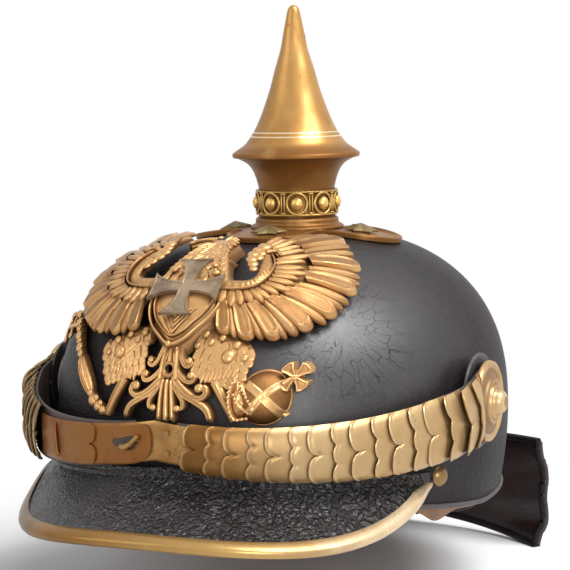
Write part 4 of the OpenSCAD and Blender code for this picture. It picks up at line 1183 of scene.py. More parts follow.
class HELMET_OT_pearl_ring(bpy.types.Operator):
    """Ring of pearls in oval frames, parted by double bars"""

    bl_idname = "helmet.pearl_ring"
    bl_label = "Pearl ring"

    def execute(self, context):
        form = helmet_form()
        low, high = form.pearl_low, form.pearl_high
        middle, half = (low + high) / 2, (high - low) / 2
        r = form.neck_r + 0.1
        band = [(r, low + 0.2), (r + 1.2, low + 0.2), (r + 1.5, low + 0.7), (r + 1.2, low + 1.2),
                (r + 0.6, low + 1.6), (r + 0.5, middle), (r + 0.6, high - 1.6),
                (r + 1.2, high - 1.2), (r + 1.5, high - 0.7), (r + 1.2, high - 0.2),
                (r, high - 0.2), (r, low + 0.2)]
        flat = bmesh.new()
        frame_half_w = math.pi * r / form.pearls - 1.7
        first_pearl = math.radians(-66)
        for k in range(form.pearls):
            at = 2 * math.pi * r * k / form.pearls
            append(flat, tube(oval(at, 0, frame_half_w, half - 1.1, 36, 0.75), 0.62, ring=True))
            ball(flat, Matrix.Translation((at, 0, 0.3)), (2.7, 3.2, 2.5), 28, 16)
            between = at + math.pi * r / form.pearls
            for shift in (-0.62, 0.62):
                ball(flat, Matrix.Translation((between + shift, 0, 0.5)),
                     (0.5, half - 0.9, 0.85), 12, 16)
            for end in (-1, 1):
                ball(flat, Matrix.Translation((between, end * (half - 1.5), 0.6)),
                     (1.35, 0.6, 0.9), 12, 8)
        for v in flat.verts:
            a = v.co.x / r + first_pearl
            out = r + 0.2 + v.co.z
            v.co = Vector((out * math.cos(a), out * math.sin(a), middle + v.co.y))
        bmesh.ops.recalc_face_normals(flat, faces=flat.faces)
        ring = put(joined([turned(rounded(band, 3)), flat]),
                   Matrix.Translation((0, form.spike_y, 0)))
        piece("dress_pearls", ring, pearl_gilt(), replaces=["pearl_ring"],
              sharp=60)
        return {"FINISHED"}


def pearl_gilt():
    """Gilt brass with dark seats round the pearls."""
    f = Finish("pearl_gilt")
    seats = f.step(f.noise(150, 4.0)["Fac"], 0.45, 0.7)
    radius = f.distance((0, helmet_form().spike_y / 1000, 0), (1, 1, 0))
    crest = f.step(radius, 0.0178, 0.0192)
    colour = f.blend(crest, (0.16, 0.08, 0.02), (0.78, 0.5, 0.16))
    colour = f.blend(seats * 0.35, colour, paint("brass_brown"))
    return metal(f, colour, 0.3 + seats * 0.1, f.bump(f.noise(380, 3.0)["Fac"], 0.2, 0.0002))


class HELMET_OT_spike(bpy.types.Operator):
    """Spun spike on its rim, with the spigot that stands in the neck"""

    bl_idname = "helmet.spike"
    bl_label = "Spike"

    def execute(self, context):
        form = helmet_form()
        rim, h = form.spike_rim_r, form.spike_h
        seat_z = form.neck_top_z + form.seat / 2
        shares = [(0.808, 0.086), (0.731, 0.125), (0.65, 0.178), (0.573, 0.245), (0.51, 0.31),
                  (0.399, 0.442), (0.313, 0.574), (0.219, 0.705), (0.164, 0.823), (0.126, 0.9),
                  (0.101, 0.953), (0.078, 0.98), (0.04, 0.996), (0, 1.0)]
        line = [(rim - 1.1, 2.7)] + [(r * rim, z * h) for r, z in shares]
        cone = [(max(0, r), z) for r, z in curve_points(line, 5)]
        lip = rounded([(rim - 0.9, 0), (rim - 0.1, 0.25), (rim, 0.9), (rim, 1.6),
                       (rim - 0.25, 2.2), (rim - 1.1, 2.7)], 3)
        spigot_r, spigot_h = 7, 14
        foot = [(0, -spigot_h), (spigot_r, -spigot_h), (spigot_r, -0.5), (spigot_r + 1, 0),
                (rim - 3, 0)]
        profile = foot + lip + cone[1:-1] + [(0, h)]
        shape = put(turned([(r, z + seat_z) for r, z in profile], 144),
                    Matrix.Translation((0, form.spike_y, 0)))
        piece("dress_spike", shape, spun_brass("spike_brass", lines=True), body="spike",
              replaces=["spike"], sharp=60)
        return {"FINISHED"}


# Eagle: every part is drawn flat, as (x, t, height over the leather), then draped

def draped(shape, at):
    """Moves a flat drawing on to the skull, over the brow or from in front."""
    for v in shape.verts:
        v.co = at(v.co.x, v.co.y, v.co.z)
    return shape


def mirrored(shape):
    """The shape and its mirror image across the helmet's middle."""
    double = shape.copy()
    bmesh.ops.scale(double, vec=(-1, 1, 1), verts=double.verts)
    bmesh.ops.reverse_faces(double, faces=double.faces)
    return joined([shape, double])


def way_across(line, k):
    """The way across a flat line at one of its points."""
    before, after = line[max(k - 1, 0)], line[min(k + 1, len(line) - 1)]
    way = (Vector(after[:2]) - Vector(before[:2])).normalized()
    return Vector((-way.y, way.x))


def ridge(points, half_w, low, high, fluted=0.0, ends=(True, True)):
    """A raised moulding along a flat line: half widths and heights run from end to end."""
    line = curve_points(points, 6)
    n = len(line) - 1

    def along(value, s):
        if callable(value):
            return value(s)
        return mix(*value, s) if isinstance(value, tuple) else value

    def narrowing(s):
        run = 1.0
        if ends[0] and s < 0.12:
            run = math.sqrt(max(0, 1 - ((0.12 - s) / 0.12) ** 2))
        if ends[1] and s > 0.9:
            run = math.sqrt(max(0, 1 - ((s - 0.9) / 0.1) ** 2))
        return run

    def place(s, t):
        k = round(s * n)
        c = -math.cos(math.pi * t)
        run = narrowing(s)
        w = along(half_w, s) * max(0.02, run)
        dish = fluted * (1 - smooth((abs(c) - 0.2) / 0.45)) * run
        h = low + (along(high, s) - low) * (math.sin(math.pi * t) ** 0.6) * (
            0.45 + 0.55 * run) - dish
        p = Vector(line[k][:2]) + way_across(line, k) * c * w
        return Vector((p.x, p.y, h))

    def level(s, t):
        c = abs(math.cos(math.pi * t))
        return 0.95 * math.sin(math.pi * t) ** 0.8 - (0.5 if fluted else 0) * bump_at(c, 0, 0.35)

    return closed_below(grid(n, 10, place, relief=level))


def closed_below(shape):
    """Closes a part's open underside."""
    rims = [e for e in shape.edges if e.is_boundary]
    bmesh.ops.holes_fill(shape, edges=rims)
    bmesh.ops.recalc_face_normals(shape, faces=shape.faces)
    return shape


def feather(root, tip, half_w, low, high, bend=0.0, dish=0.0, point=0.2, fall=0.0,
            columns=12, rows=10):
    """One feather: a rounded blade, with a raised rim round a sunk web if it has a dish."""
    a, c = Vector(root), Vector(tip)
    way = c - a
    b = (a + c) / 2 + Vector((-way.y, way.x)) * bend

    def place(s, t):
        s = 1 - (1 - s) ** 1.6
        p = a * (1 - s) ** 2 + b * 2 * s * (1 - s) + c * s * s
        run = ((b - a) * (1 - s) + (c - b) * s).normalized()
        across = Vector((-run.y, run.x))
        w = half_w * (0.7 + 0.3 * smooth(s / 0.6))
        if s > 1 - point:
            w *= math.sqrt(max(0, 1 - ((s - 1 + point) / point) ** 2))
        d = 2 * t - 1
        d = math.copysign(1 - (1 - abs(d)) ** 1.3, d)
        if dish:
            edge = smooth((1 - abs(d)) / 0.2)
            hollow = dish * (1 - smooth((abs(d) - 0.5) / 0.22)) * smooth((s - 0.05) / 0.2)
            hollow *= 1 - smooth((s - 0.82) / 0.12)
        else:
            edge = (1 - d * d) ** 0.6
            hollow = 0
        top = high - fall * s - 0.6 * (1 - s) ** 3 - 0.4 * smooth((s - 0.88) / 0.12)
        q = p + across * d * w
        return Vector((q.x, q.y, low - fall * s + (top - low + fall * s) * edge - hollow))

    def level(s, t):
        d = abs(2 * t - 1)
        web = 0.5 * (1 - smooth((d - 0.34) / 0.2)) if dish else 0.0
        return smooth((1 - d) / (0.16 if dish else 0.5)) * (0.95 - web) * (
            0.55 + 0.45 * smooth(s / 0.3))

    shape = grid(columns, rows, place, relief=level)
    bmesh.ops.remove_doubles(shape, verts=shape.verts, dist=1e-5)
    return closed_below(shape)


def mound(centre, outline, low, high, power=2.0, steps=72, rings=12, rough=0.0,
          worn=0.6):
    """A domed pad inside a smooth closed outline, its top rubbed bright by its worn share."""
    line = curve_points([*outline, outline[0]], 8)
    middle = Vector(centre)

    def place(s, t):
        r = 1 - t
        at = s * (len(line) - 1)
        k = min(int(at), len(line) - 2)
        edge = line[k].lerp(line[k + 1], at - k)
        p = middle.lerp(edge, r)
        wave = rough * math.sin(2.1 * p.x + 0.7 * p.y) * math.sin(1.7 * p.y - 0.4 * p.x)
        h = low + (high - low) * (1 - r ** power) ** 0.5 + wave * (1 - r ** 3)
        return Vector((p.x, p.y, h))

    def level(s, t):
        return 0.15 + worn * (1 - (1 - t) ** 3) ** 0.5

    return closed_below(grid(steps, rings, place, closed=True, relief=level))


def lump(x, t, height, radius, flat=0.7):
    return bead(bmesh.new(), Matrix.Translation((x, t, height)), radius, flat, 20)


def slab(outline, low, high, chamfer=0.3, rim=0.0):
    """A flat plate cut to an outline, its upper edge rounded and its face sunk in a rim."""
    shape = bmesh.new()
    level = shape.verts.layers.float.new("relief")
    face = shape.faces.new([shape.verts.new((x, t, low)) for x, t in outline])
    bmesh.ops.recalc_face_normals(shape, faces=[face])
    grown = bmesh.ops.extrude_face_region(shape, geom=[face])["geom"]
    bmesh.ops.translate(shape, verts=[v for v in grown if isinstance(v, bmesh.types.BMVert)],
                        vec=(0, 0, high - low))
    top = next(f for f in grown if isinstance(f, bmesh.types.BMFace))
    for v in shape.verts:
        v[level] = 0.85
    if rim:
        bmesh.ops.inset_region(shape, faces=[top], thickness=rim, depth=0, use_even_offset=True)
        bmesh.ops.inset_region(shape, faces=[top], thickness=0.2, depth=0, use_even_offset=True)
        bmesh.ops.translate(shape, verts=top.verts[:], vec=(0, 0, -0.4))
        for v in top.verts:
            v[level] = 0.45
    sharp = [e for e in shape.edges if len(e.link_faces) == 2 and e.calc_face_angle(0) > 0.9
             and min(v.co.z for v in e.verts) > mix(low, high, 0.5)]
    bmesh.ops.bevel(shape, geom=sharp, offset=chamfer, offset_type="OFFSET", segments=2,
                    profile=0.5, affect="EDGES", material=-1, clamp_overlap=True)
    bmesh.ops.triangulate(shape, faces=[f for f in shape.faces if len(f.verts) > 4])
    bmesh.ops.recalc_face_normals(shape, faces=shape.faces)
    return shape


def wing(form):
    """The wearer's left wing: pinions that fall to the skull, coverts, the arm and its knuckle."""
    top = form.relief + 0.6
    fall = 3.4
    webbed = [
        ((32, 33), (40.6, 55.4), 4.5), ((41, 24), (56, 35), 4.2), ((43.6, 13), (60.2, 18.4), 4.0),
        ((40, 1.2), (57.4, 1.8), 3.9), ((35.6, -4.6), (50.8, -9.4), 3.8),
        ((29.4, -9.4), (40.2, -18.9), 3.6), ((24, -11), (30, -22.8), 3.4),
        ((18.4, -11.6), (20.4, -22.8), 3.2),
    ]
    plain = [
        ((22.8, 31), (25, 46), 2.0), ((25.5, 34), (28.4, 54.5), 2.3), ((28, 34), (33, 57.6), 2.5),
        ((36, 29), (45.4, 50), 2.2), ((38.6, 27), (49.6, 44), 2.3),
        ((42.6, 18.8), (58.4, 27.4), 2.2), ((43.6, 16.4), (59.8, 23), 1.9),
        ((43, 7.4), (59.6, 10.4), 2.3),
        ((42, 4.8), (58.6, 6.2), 1.9), ((38.6, -2.2), (55, -4), 2.2),
        ((33.6, -6.6), (46.6, -14.2), 2.7), ((31, -8.4), (43.4, -17.2), 1.8),
        ((26.6, -10.6), (35, -20.8), 1.9), ((21, -11.6), (25, -23.4), 1.8),
    ]
    coverts = [
        ((21.6, 27), (23.6, 37.4), 1.9), ((23.4, 26.6), (26.6, 36.6), 2.0),
        ((25.2, 25.6), (30.2, 35), 2.0), ((27.2, 23.6), (34.2, 32.2), 2.1),
        ((29, 20.6), (37.6, 29.6), 2.1), ((30.2, 17.6), (40, 25.8), 2.1),
        ((31, 14.8), (41.4, 21), 2.1), ((32, 12.2), (42.2, 16.6), 2.0),
        ((32.6, 9.4), (43.6, 12.6), 2.0), ((32.6, 6.8), (43, 8.8), 2.0),
        ((32.4, 4.2), (42.4, 5.2), 2.0), ((31.8, 1.8), (41.2, 1.2), 2.0),
        ((30.8, -0.4), (39, -2.8), 2.0), ((29.4, -2.4), (36.4, -5.6), 2.0),
        ((27.8, -4), (33.6, -8), 2.1), ((25.8, -5), (30.4, -10.4), 2.2),
        ((23.2, -5.8), (26.4, -12), 2.3), ((20.4, -6.4), (22.4, -13.4), 2.4),
        ((17.4, -6.8), (18.2, -13.8), 2.4),
    ]
    parts = [fan_plate(top - 4.4, top - 2.4, fall)]
    for root, tip, w in plain:
        parts.append(feather(root, tip, w, top - 3.2, top - 0.9, 0.05, 0.0, 0.24, fall, 18, 12))
    for root, tip, w in webbed:
        parts.append(feather(root, tip, w, top - 3.2, top - 0.35, 0.05, 0.55, 0.2, fall, 22, 16))
    for k, (root, tip, w) in enumerate(coverts):
        bend = (0.1 if k < 11 else -0.03) + 0.08 * math.sin(2.3 * k)
        tip = Vector(tip) + (Vector(tip) - Vector(root)) * 0.1 * math.sin(4.1 * k)
        parts.append(feather(root, tip, w, top - 1.2, top + 0.35 - 0.25 * (k % 2), bend, 0.0,
                             0.75, 0.5, 14, 10))
    inner = curve_points([(22.6, 23), (23.4, 19.4), (24.6, 14), (25.8, 7.6), (25.4, 3.6),
                          (22.8, 1.6), (18.8, 0.8), (14, 0.2)], 6)
    outer = curve_points([(26.4, 21.6), (28.8, 18.6), (31, 14.4), (31.8, 10), (31.6, 5.6),
                          (30.4, 1.5), (28.6, -1.6), (25.4, -4), (21, -5.6), (14, -6.8)], 5)

    def arm(s, t):
        a = inner[round(s * (len(inner) - 1))]
        b = outer[min(len(outer) - 1, round(s * (len(outer) - 1)))]
        p = a.lerp(b, t)
        strokes = 0.26 * math.sin(170 * s + 12 * t) * math.sin(math.pi * t)
        hump = math.sin(math.pi * min(1, t / 0.9)) ** 0.7 if t < 0.9 else 0
        return Vector((p.x, p.y, top - 1.9 + 1.3 * hump + strokes))

    def arm_level(s, t):
        return 0.75 * smooth(t / 0.12) * (1 - smooth((t - 0.78) / 0.1)) + 0.2 * math.sin(170 * s)

    parts.append(closed_below(grid(len(inner) - 1, 20, arm, relief=arm_level)))
    parts.append(ridge([tuple(p) for p in outer[::5]], 0.42, top - 1.5, top + 0.45))
    knuckle = [(21.9, 26, 3.0), (20.8, 22.2, 2.6), (20.2, 18.6, 2.5), (22.8, 20.4, 2.3),
               (21, 14.8, 2.4), (23.2, 16.8, 2.1), (22.8, 11.6, 2.2), (24.2, 8.6, 1.7)]
    parts += [lump(x, t, top - 0.7, r, 0.5) for x, t, r in knuckle]
    parts.append(ridge([(24.4, 21), (26.6, 22.8), (29, 22.8), (31.2, 20.4)], (1.5, 0.7),
                       top - 1, top + 0.8))
    return joined(parts)


def fan_plate(low, high, fall):
    """Sheet under the feathers, so that nothing shows between their roots."""
    inner = curve_points([(21.4, 30), (22.4, 23), (24.6, 14), (25.8, 6), (23, 1.4), (17, 0.4),
                          (13, -1)], 6)
    outer = curve_points([(26, 45), (38, 43), (50, 30), (54, 15), (50, -1), (39, -12),
                          (21, -18)], 6)
    sections = []
    for a, b in zip(inner, outer):
        upper = [(*a.lerp(b, k / 8), high - fall * k / 10) for k in range(9)]
        lower = [(*a.lerp(b, k / 8), low + 0.3 - fall * k / 10) for k in range(8, -1, -1)]
        sections.append(upper + lower)
    return swept(sections)


def eagle_body(form):
    """Head in profile, neck, breast plumage and the shield on the breast."""
    top = form.relief + 0.1
    outline = [(-8.4, 23), (7.4, 23), (9, 17.4), (12, 10.6), (16.6, 3.4), (18, -6), (17, -16),
               (13, -23), (7.4, -30), (1.5, -33.4), (-4.6, -29), (-9.4, -23.6), (-13, -16),
               (-14.6, -6), (-15.6, 2), (-11.4, 9.4), (-8.8, 16)]
    parts = [mound((1, -4), outline, 1.2, top - 1.2, 3.2, 96, 14, 0.15)]
    for row in range(8):
        t = 22.5 - 4.2 * row
        left, right = mix(-6.6, -12.5, min(1, row / 5)), mix(5.6, 14.5, min(1, row / 5))
        count = 6 + row % 2
        for k in range(count):
            x = mix(left, right, k / (count - 1))
            parts.append(feather((x * 0.9, t + 3), (x * 1.04, t - 4.4), 1.9, top - 1.5,
                                 top - 0.8, 0.08, 0.0, 0.5))
    shield = [(-11, -3), (2, 1), (15, -3), (15.6, -14), (10.4, -23.4), (1.5, -32),
              (-5.4, -26.4), (-10.6, -17)]
    parts.append(mound((1.8, -12), shield, top - 2.6, top - 0.25, 4.5, 72, 10, 0.0, 1.0))
    rim = [(-12.4, -7), (-12, -16.6), (-9, -24), (-4.4, -29), (1.5, -33), (7.4, -30.4),
           (11.4, -25.6), (15, -20.6), (17.4, -14), (17.6, -6)]
    parts.append(ridge(rim, 0.55, top - 2.4, top - 0.15))
    inside = [(x * 0.84 + 0.25, t * 0.88 - 1) for x, t in rim]
    parts.append(ridge(inside, 0.3, top - 1.2, top + 0.3))
    for shift in (0, 2.6, 5.2, 7.8):
        for side in (-1, 1):
            start = (1.5 + side * (8.2 - shift * 0.75), -16.5 - shift * 0.25)
            parts.append(ridge([start, (1.5 + side * (4.6 - shift * 0.42), -23 + shift * 0.35),
                                (1.5, -30 + shift)], 0.3, top - 1.2, top + 0.3))
    parts += [lump(x, t, top - 0.1, r, 0.6) for x, t, r in
              [(1.5, -33.4, 1.1), (1.5, -25.6, 0.6), (-8.6, 4.4, 1.6), (10.4, 3.2, 1.6),
               (-5.2, 7.6, 1.3), (8, 8, 1.3)]]
    head = [(7, 21), (7.4, 27), (6.6, 33.4), (1.6, 36.6), (-4.4, 36), (-8, 32.6), (-7.4, 27),
            (-8, 21)]
    parts.append(mound((0, 28.6), head, 1.6, top - 1.0, 2.6, 64, 10, 0.12))
    parts.append(ridge([(-4.6, 34.4), (-9.6, 34.8), (-14, 33.9), (-17.2, 31.4)], (1.9, 0.7), 3,
                       (top - 1.0, top - 2.2)))
    parts.append(ridge([(-5, 30.6), (-9.6, 29.6), (-13.8, 27.2)], (1.5, 0.6), 3,
                       (top - 1.4, top - 2.4)))
    parts += [lump(-4.0, 33, top - 1.1, 0.8, 0.5), lump(-2.4, 34.6, top - 1.2, 1.2, 0.5)]
    for k in range(8):
        a = math.radians(mix(-58, 84, k / 7))
        root = (0.6 + 2.4 * math.cos(a), 29 + 2.6 * math.sin(a))
        tip = (0.4 + 7.8 * math.cos(a - 0.2), 28.4 + 8.2 * math.sin(a - 0.2))
        parts.append(feather(root, tip, 1.4, top - 2.4, top - 0.9 + 0.2 * (k % 2), 0.12, 0.0, 0.6))
    for k in range(7):
        t = 28.5 - 2.9 * k
        for x0, x1 in [(-2.8 - 0.3 * k, -7.8 - 0.75 * k), (-0.8, -3.4 - 0.3 * k),
                       (1.6, 2.4 + 0.4 * k), (3.4, 7.2 + 0.6 * k)]:
            parts.append(feather((x0, t), (x1, t - 5.2), 1.3, top - 2.2,
                                 top - 0.45 - 0.15 * (k % 2), math.copysign(0.12, x1), 0.0, 0.6))
    return joined(parts)


def thigh(form):
    """The wearer's left thigh with its plumage, and the shin below it."""
    top = form.relief * 0.5
    outline = [(9.2, 82), (12, 87.4), (20, 86), (27, 83.4), (31.4, 79.4), (32.6, 75),
               (31, 71.4), (28, 69.4), (24.4, 66.6), (19.6, 66.8), (13.4, 68.2), (12, 72),
               (13, 76), (13.6, 79), (10.8, 80)]
    parts = [mound((21.5, 76.4), outline, 1.0, top - 0.7, 3.0, 96, 12, 0.12)]
    for row in range(6):
        for k in range(7):
            x = mix(12.4, 30.4 - 0.8 * row, k / 6) + 0.6 * (row % 2)
            t = mix(86, 80.6, k / 6) - 2.6 * row
            lean = mix(-0.3, 0.42, k / 6)
            length_out = 5.4 if row < 5 else 4
            parts.append(feather((x, t), (x + length_out * lean, t - length_out), 1.7, top - 0.95,
                                 top - 0.72 + 0.06 * (k % 2), 0.14, 0.0, 0.3))
    for x, t, r in [(24.2, 77.2, 2.3), (13.6, 85.4, 1.2), (26.6, 81.4, 1.2), (16.4, 82.4, 1.1),
                    (20.6, 84, 1.0), (30.4, 76.6, 1.1), (11.2, 81.2, 0.9)]:
        parts.append(lump(x, t, top - 0.45, r, 0.45))
        parts.append(tube(oval(x, t, r * 1.05, r * 1.05, 16, top - 0.5), 0.28, True, 8))
    for k in range(8):
        x = mix(15, 27, k / 7)
        parts.append(feather((x + 0.6, 71.4 + 0.2 * k), (x - 0.3, 66.6 + 0.32 * k), 0.95,
                             top - 1.6, top - 0.3, 0.05, 0.0, 0.6))
    parts.append(ridge([(20, 67.6), (22.8, 63), (25.8, 57.6), (28.2, 52.4)], (2.4, 1.9), 1.0,
                       (top - 0.4, top - 0.8), 0.0, (False, False)))
    parts.append(ridge([(20.4, 68), (23.4, 63), (26.4, 57.6), (28.8, 52.4)], 0.5, 2.0,
                       (top + 0.1, top - 0.3), 0.0, (True, False)))
    return joined(parts)


def tail(form):
    """Ribs, scrolls and arches of the tail round its one hole."""
    top = form.relief * 0.52
    scrolls = [
        ([(3.6, 82.6), (5.0, 78.4), (6.3, 75.0), (8.3, 73.2), (10, 74), (9.2, 75.4)], 1.25),
        ([(2.2, 81.6), (3.0, 76), (4.7, 71.2), (8.2, 68), (11, 67.4), (12, 69),
          (10.8, 70)], 1.35),
        ([(2.0, 71), (5.6, 66.6), (10, 62.8), (14.2, 61.2), (17, 62.6), (16.6, 65.2),
          (14.6, 65.2)], 1.65),
        ([(2.6, 68), (7.6, 63), (13.4, 59.8), (17.8, 56.6), (19.8, 51.6)], 1.75),
        ([(2.2, 68.6), (5.4, 63.8), (7.9, 60.2), (8, 57.4), (6, 57)], 1.3),
    ]
    parts = []
    for line, w in scrolls:
        for side in (-1, 1):
            points = [(1 + side * (x - 1 + (0.4 if side < 0 else 0)), t) for x, t in line]
            parts.append(ridge(points, (w, w * 0.8), 1.0, top + 0.1, 0.5))
            x, t = points[-1]
            if line[-1][1] > 53:
                parts.append(lump(x, t, top - 0.4, w * 1.05))
    for x0, x1, w in [(-1.3, -1.9, 1.25), (3.0, 4.2, 1.25), (0.8, 1.2, 1.5)]:
        parts.append(ridge([(mix(0.8, x0, 0.75), 69.2), (mix(x0, x1, 0.5), 60), (x1, 51.2)],
                           (w * 0.7, w * 1.1), 1.0, top + 0.3, 0.0))
    for x0, x1 in [(-0.9, -2.6), (2.2, 4.4), (0.6, 0.8)]:
        low_end = 74.6 if x1 == 0.8 else 68.4
        parts.append(ridge([(x0, 83), (mix(x0, x1, 0.6), 77), (x1, low_end)], (0.9, 1.4), 1.0,
                           top + 0.5, 0.0, (True, x1 == 0.8)))
    parts.append(tube(oval(0.9, 72, 2.5, 2.5, 24, top - 1.1), 0.95, ring=True))
    return joined(parts)


def orb_and_claw(form):
    """The banded orb with its cross, held in the claw."""
    top = form.relief * 0.5
    x0, t0, r = 38.1, 60.9, form.orb_r
    squeeze = 0.9
    dome = top + 1.8
    ring = oval(x0, t0, r * squeeze, r, 16)
    parts = [mound((x0, t0), ring, 1.0, dome, 2.4, 96, 16, 0.0, 0.18)]

    def over(points, w):
        """A band that follows the orb's dome."""
        line = curve_points(points, 8)

        def place(s, t):
            k = round(s * (len(line) - 1))
            c = -math.cos(math.pi * t)
            p = Vector(line[k][:2]) + way_across(line, k) * c * w
            off = Vector(((p.x - x0) / squeeze, p.y - t0))
            away = min(1, off.length / r)
            h = 1.0 + (dome - 1.0) * math.sqrt(max(0, 1 - away ** 2.4))
            edge = smooth((1 - abs(c)) / 0.35)
            return Vector((p.x, p.y, h - 0.1 + 0.5 * edge - 0.22 * bump_at(c, 0, 0.4)))

        return closed_below(grid(len(line) - 1, 12, place,
                                 relief=lambda s, t: 0.35 + 0.5 * math.sin(math.pi * t)))

    parts.append(over([(32.4, 67), (37, 64.2), (42, 59), (45.6, 53.6)], 1.75))
    parts.append(over([(45.6, 67), (42.6, 65), (38.6, 61.4), (34.4, 55.6)], 1.75))
    rim = [(x, t, 1.4) for x, t in curve_points_closed(ring)]
    parts.append(tube(rim, 0.5, ring=True))
    parts.append(ridge([(44.6, 66.2), (48.2, 68.8)], 1.4, 1.0, top))
    cross = []
    for k in range(4):
        for x, y in [(-1.0, 1.2), (-1.5, 3), (-2.7, 5.0), (-1.4, 6.0), (1.4, 6.0), (2.7, 5.0),
                     (1.5, 3), (1.0, 1.2)]:
            a = math.radians(90 * k + 40)
            cross.append((48.9 + 0.92 * (x * math.cos(a) - y * math.sin(a)),
                          68.9 + x * math.sin(a) + y * math.cos(a)))
    parts.append(slab(cross, 1.6, top, 0.3, 0.5))
    web = [(28.6, 68.4), (31, 66.6), (33.6, 61.6), (35.8, 57.8), (33.4, 54.6), (29.4, 53.2),
           (27.4, 57), (26.8, 63)]
    parts.append(mound((30.4, 60.5), web, 1.2, top + 0.9, 2.4, 64, 10, 0.15))
    for points in ([(28.6, 69), (26.9, 64), (27.2, 58), (29.4, 53.4), (34, 53.8)],
                   [(30, 67.6), (32.6, 63.4), (35, 59.4), (36.4, 57.8)],
                   [(28.8, 63), (30.8, 58.6), (34.6, 55.9)]):
        parts.append(ridge(points, (1.1, 0.9), 1.2, (top + 0.8, top + 2.0)))
        for p in curve_points(points, 6)[::2]:
            parts.append(lump(p[0], p[1], top + 1.5, 0.62, 0.7))
    parts.append(lump(36.2, 57.4, top + 2.2, 1.0))
    return joined(parts)


def curve_points_closed(points):
    line = curve_points([*points, points[0]], 3)
    return [(p.x, p.y) for p in line[:-1]]


def sceptre(form):
    """The sceptre in the wearer's right claw, with its leafy grip and cross head."""
    top = form.relief * 0.5
    shaft = [(-29, 53.4), (-34, 55.6), (-38.6, 59.6), (-43.6, 65.4), (-48, 71.6), (-51.8, 77.4),
             (-56, 83.6), (-58.6, 87.4)]
    parts = [ridge(shaft, (1.6, 1.2), 1.0, top - 0.6)]
    grip = [(-37.4, 58.2), (-40.6, 62), (-43.8, 66), (-46.6, 70.4), (-48.2, 73.4)]

    def leaf(s):
        return 1.0 + 2.5 * math.sin(math.pi * s ** 0.8) ** 0.9

    parts.append(ridge(grip, leaf, 1.0, lambda s: top - 0.6 + 1.1 * math.sin(math.pi * s)))
    for side in (-1, 0, 1):
        vein = [(x + side * (0.9 if 0 < k < 4 else 0.2), t + side * 0.6)
                for k, (x, t) in enumerate(grip)]
        parts.append(ridge(vein, 0.42, 2.0, lambda s: top - 0.3 + 1.1 * math.sin(math.pi * s)))
    for x, t, r in [(-36.4, 57, 2.3), (-33.2, 55, 2.1), (-30.4, 53.8, 1.9), (-38.2, 59.8, 1.6),
                    (-34.4, 58.2, 1.5), (-31.8, 56.4, 1.4)]:
        parts.append(lump(x, t, top - 0.7, r, 0.7))
    for x, t, r in [(-48.6, 74, 1.5), (-50.2, 76.2, 1.9), (-51.8, 78.6, 1.4), (-53.2, 80.4, 1.8),
                    (-54.8, 82.8, 1.4), (-56.4, 85, 1.7), (-58.2, 87.6, 1.4)]:
        parts.append(lump(x, t, top - 0.6, r, 0.7))
    for k in range(5):
        x, t = mix(-50, -57, k / 4), mix(75.6, 85.6, k / 4)
        parts.append(ridge([(x - 1.5, t - 0.4), (x + 1.5, t + 0.6)], 0.4, 2.0, top + 0.4))
    parts.append(ridge([(-56.6, 84), (-60.4, 83.2), (-63.8, 82.2), (-66.4, 81)], (1.4, 1.1),
                       1.2, top - 0.2))
    for x, t0, t1 in [(-61.4, 87.4, 79.2), (-65.6, 86.2, 76.6)]:
        parts.append(ridge([(x, t0), (x - 0.5, (t0 + t1) / 2), (x - 0.6, t1)], 1.0, 1.2, top - 0.4))
        parts += [lump(x, t, top - 0.9, 1.3, 0.7) for t in (t0, t1)]
    return joined(parts)


class HELMET_OT_eagle(bpy.types.Operator):
    """Gilt eagle plate: wings, body, legs, tail, orb and sceptre"""

    bl_idname = "helmet.eagle"
    bl_label = "Eagle plate"

    def execute(self, context):
        form = helmet_form()
        gilt = gilt_relief()
        wings = draped(mirrored(wing(form)), form.brow_at)
        piece("eagle_wings", wings, feather_gilt(), replaces=["eagle_plate"],
              sharp=55)
        for name, part, at in (("eagle_body", eagle_body(form), form.brow_at),
                               ("eagle_legs", mirrored(thigh(form)), form.front_at),
                               ("eagle_tail", tail(form), form.front_at),
                               ("eagle_orb", orb_and_claw(form), form.front_at),
                               ("eagle_sceptre", sceptre(form), form.front_at)):
            piece(name, draped(part, at), gilt, sharp=55)
        return {"FINISHED"}


class HELMET_OT_silver_cross(bpy.types.Operator):
    """Silver cross on the eagle's breast, with a bare raised rim"""

    bl_idname = "helmet.silver_cross"
    bl_label = "Silver cross"

    def execute(self, context):
        form = helmet_form()
        arm = form.cross_w / 2
        outline = []
        side = [(0.165, 0.165), (0.17, 0.34), (0.205, 0.54), (0.275, 0.74), (0.39, 0.92),
                (0.48, 1.0)]
        for k in range(4):
            a = math.radians(-90 * k)
            left = [(-x, y) for x, y in side]
            for x, y in left[1:] + [(0, 0.985)] + side[:0:-1] + [side[0]]:
                outline.append((arm * (x * math.cos(a) - y * math.sin(a)),
                                arm * (x * math.sin(a) + y * math.cos(a))))
        spot = form.front_at(2, 94, 0)
        pose = (Matrix.Translation(spot) @ Matrix.Rotation(math.radians(40), 4, "X")
                @ Matrix.Translation((0, 0, form.relief + 1.1)) @ Matrix.Rotation(0.035, 4, "Z"))
        shape = put(slab(outline, 0, 1.6, 0.25, 0.6), pose)
        silver = dull_metal("tarnished_silver", paint("silver"), (0.17, 0.12, 0.08), 0.4)
        piece("dress_silver_cross", shape, silver, replaces=["silver_cross"],
              sharp=30)
        return {"FINISHED"}


# Chin chain, rosettes and cockades

def chain_spot(form, q, over=0.0, up=0.0):
    """A point of the chain's route, a little outside and above its inner face."""
    d = form.chain_dir(q)
    return form.chain_at(q) + Vector((d.y, -d.x, 0)).normalized() * over + Vector((0, 0, up))


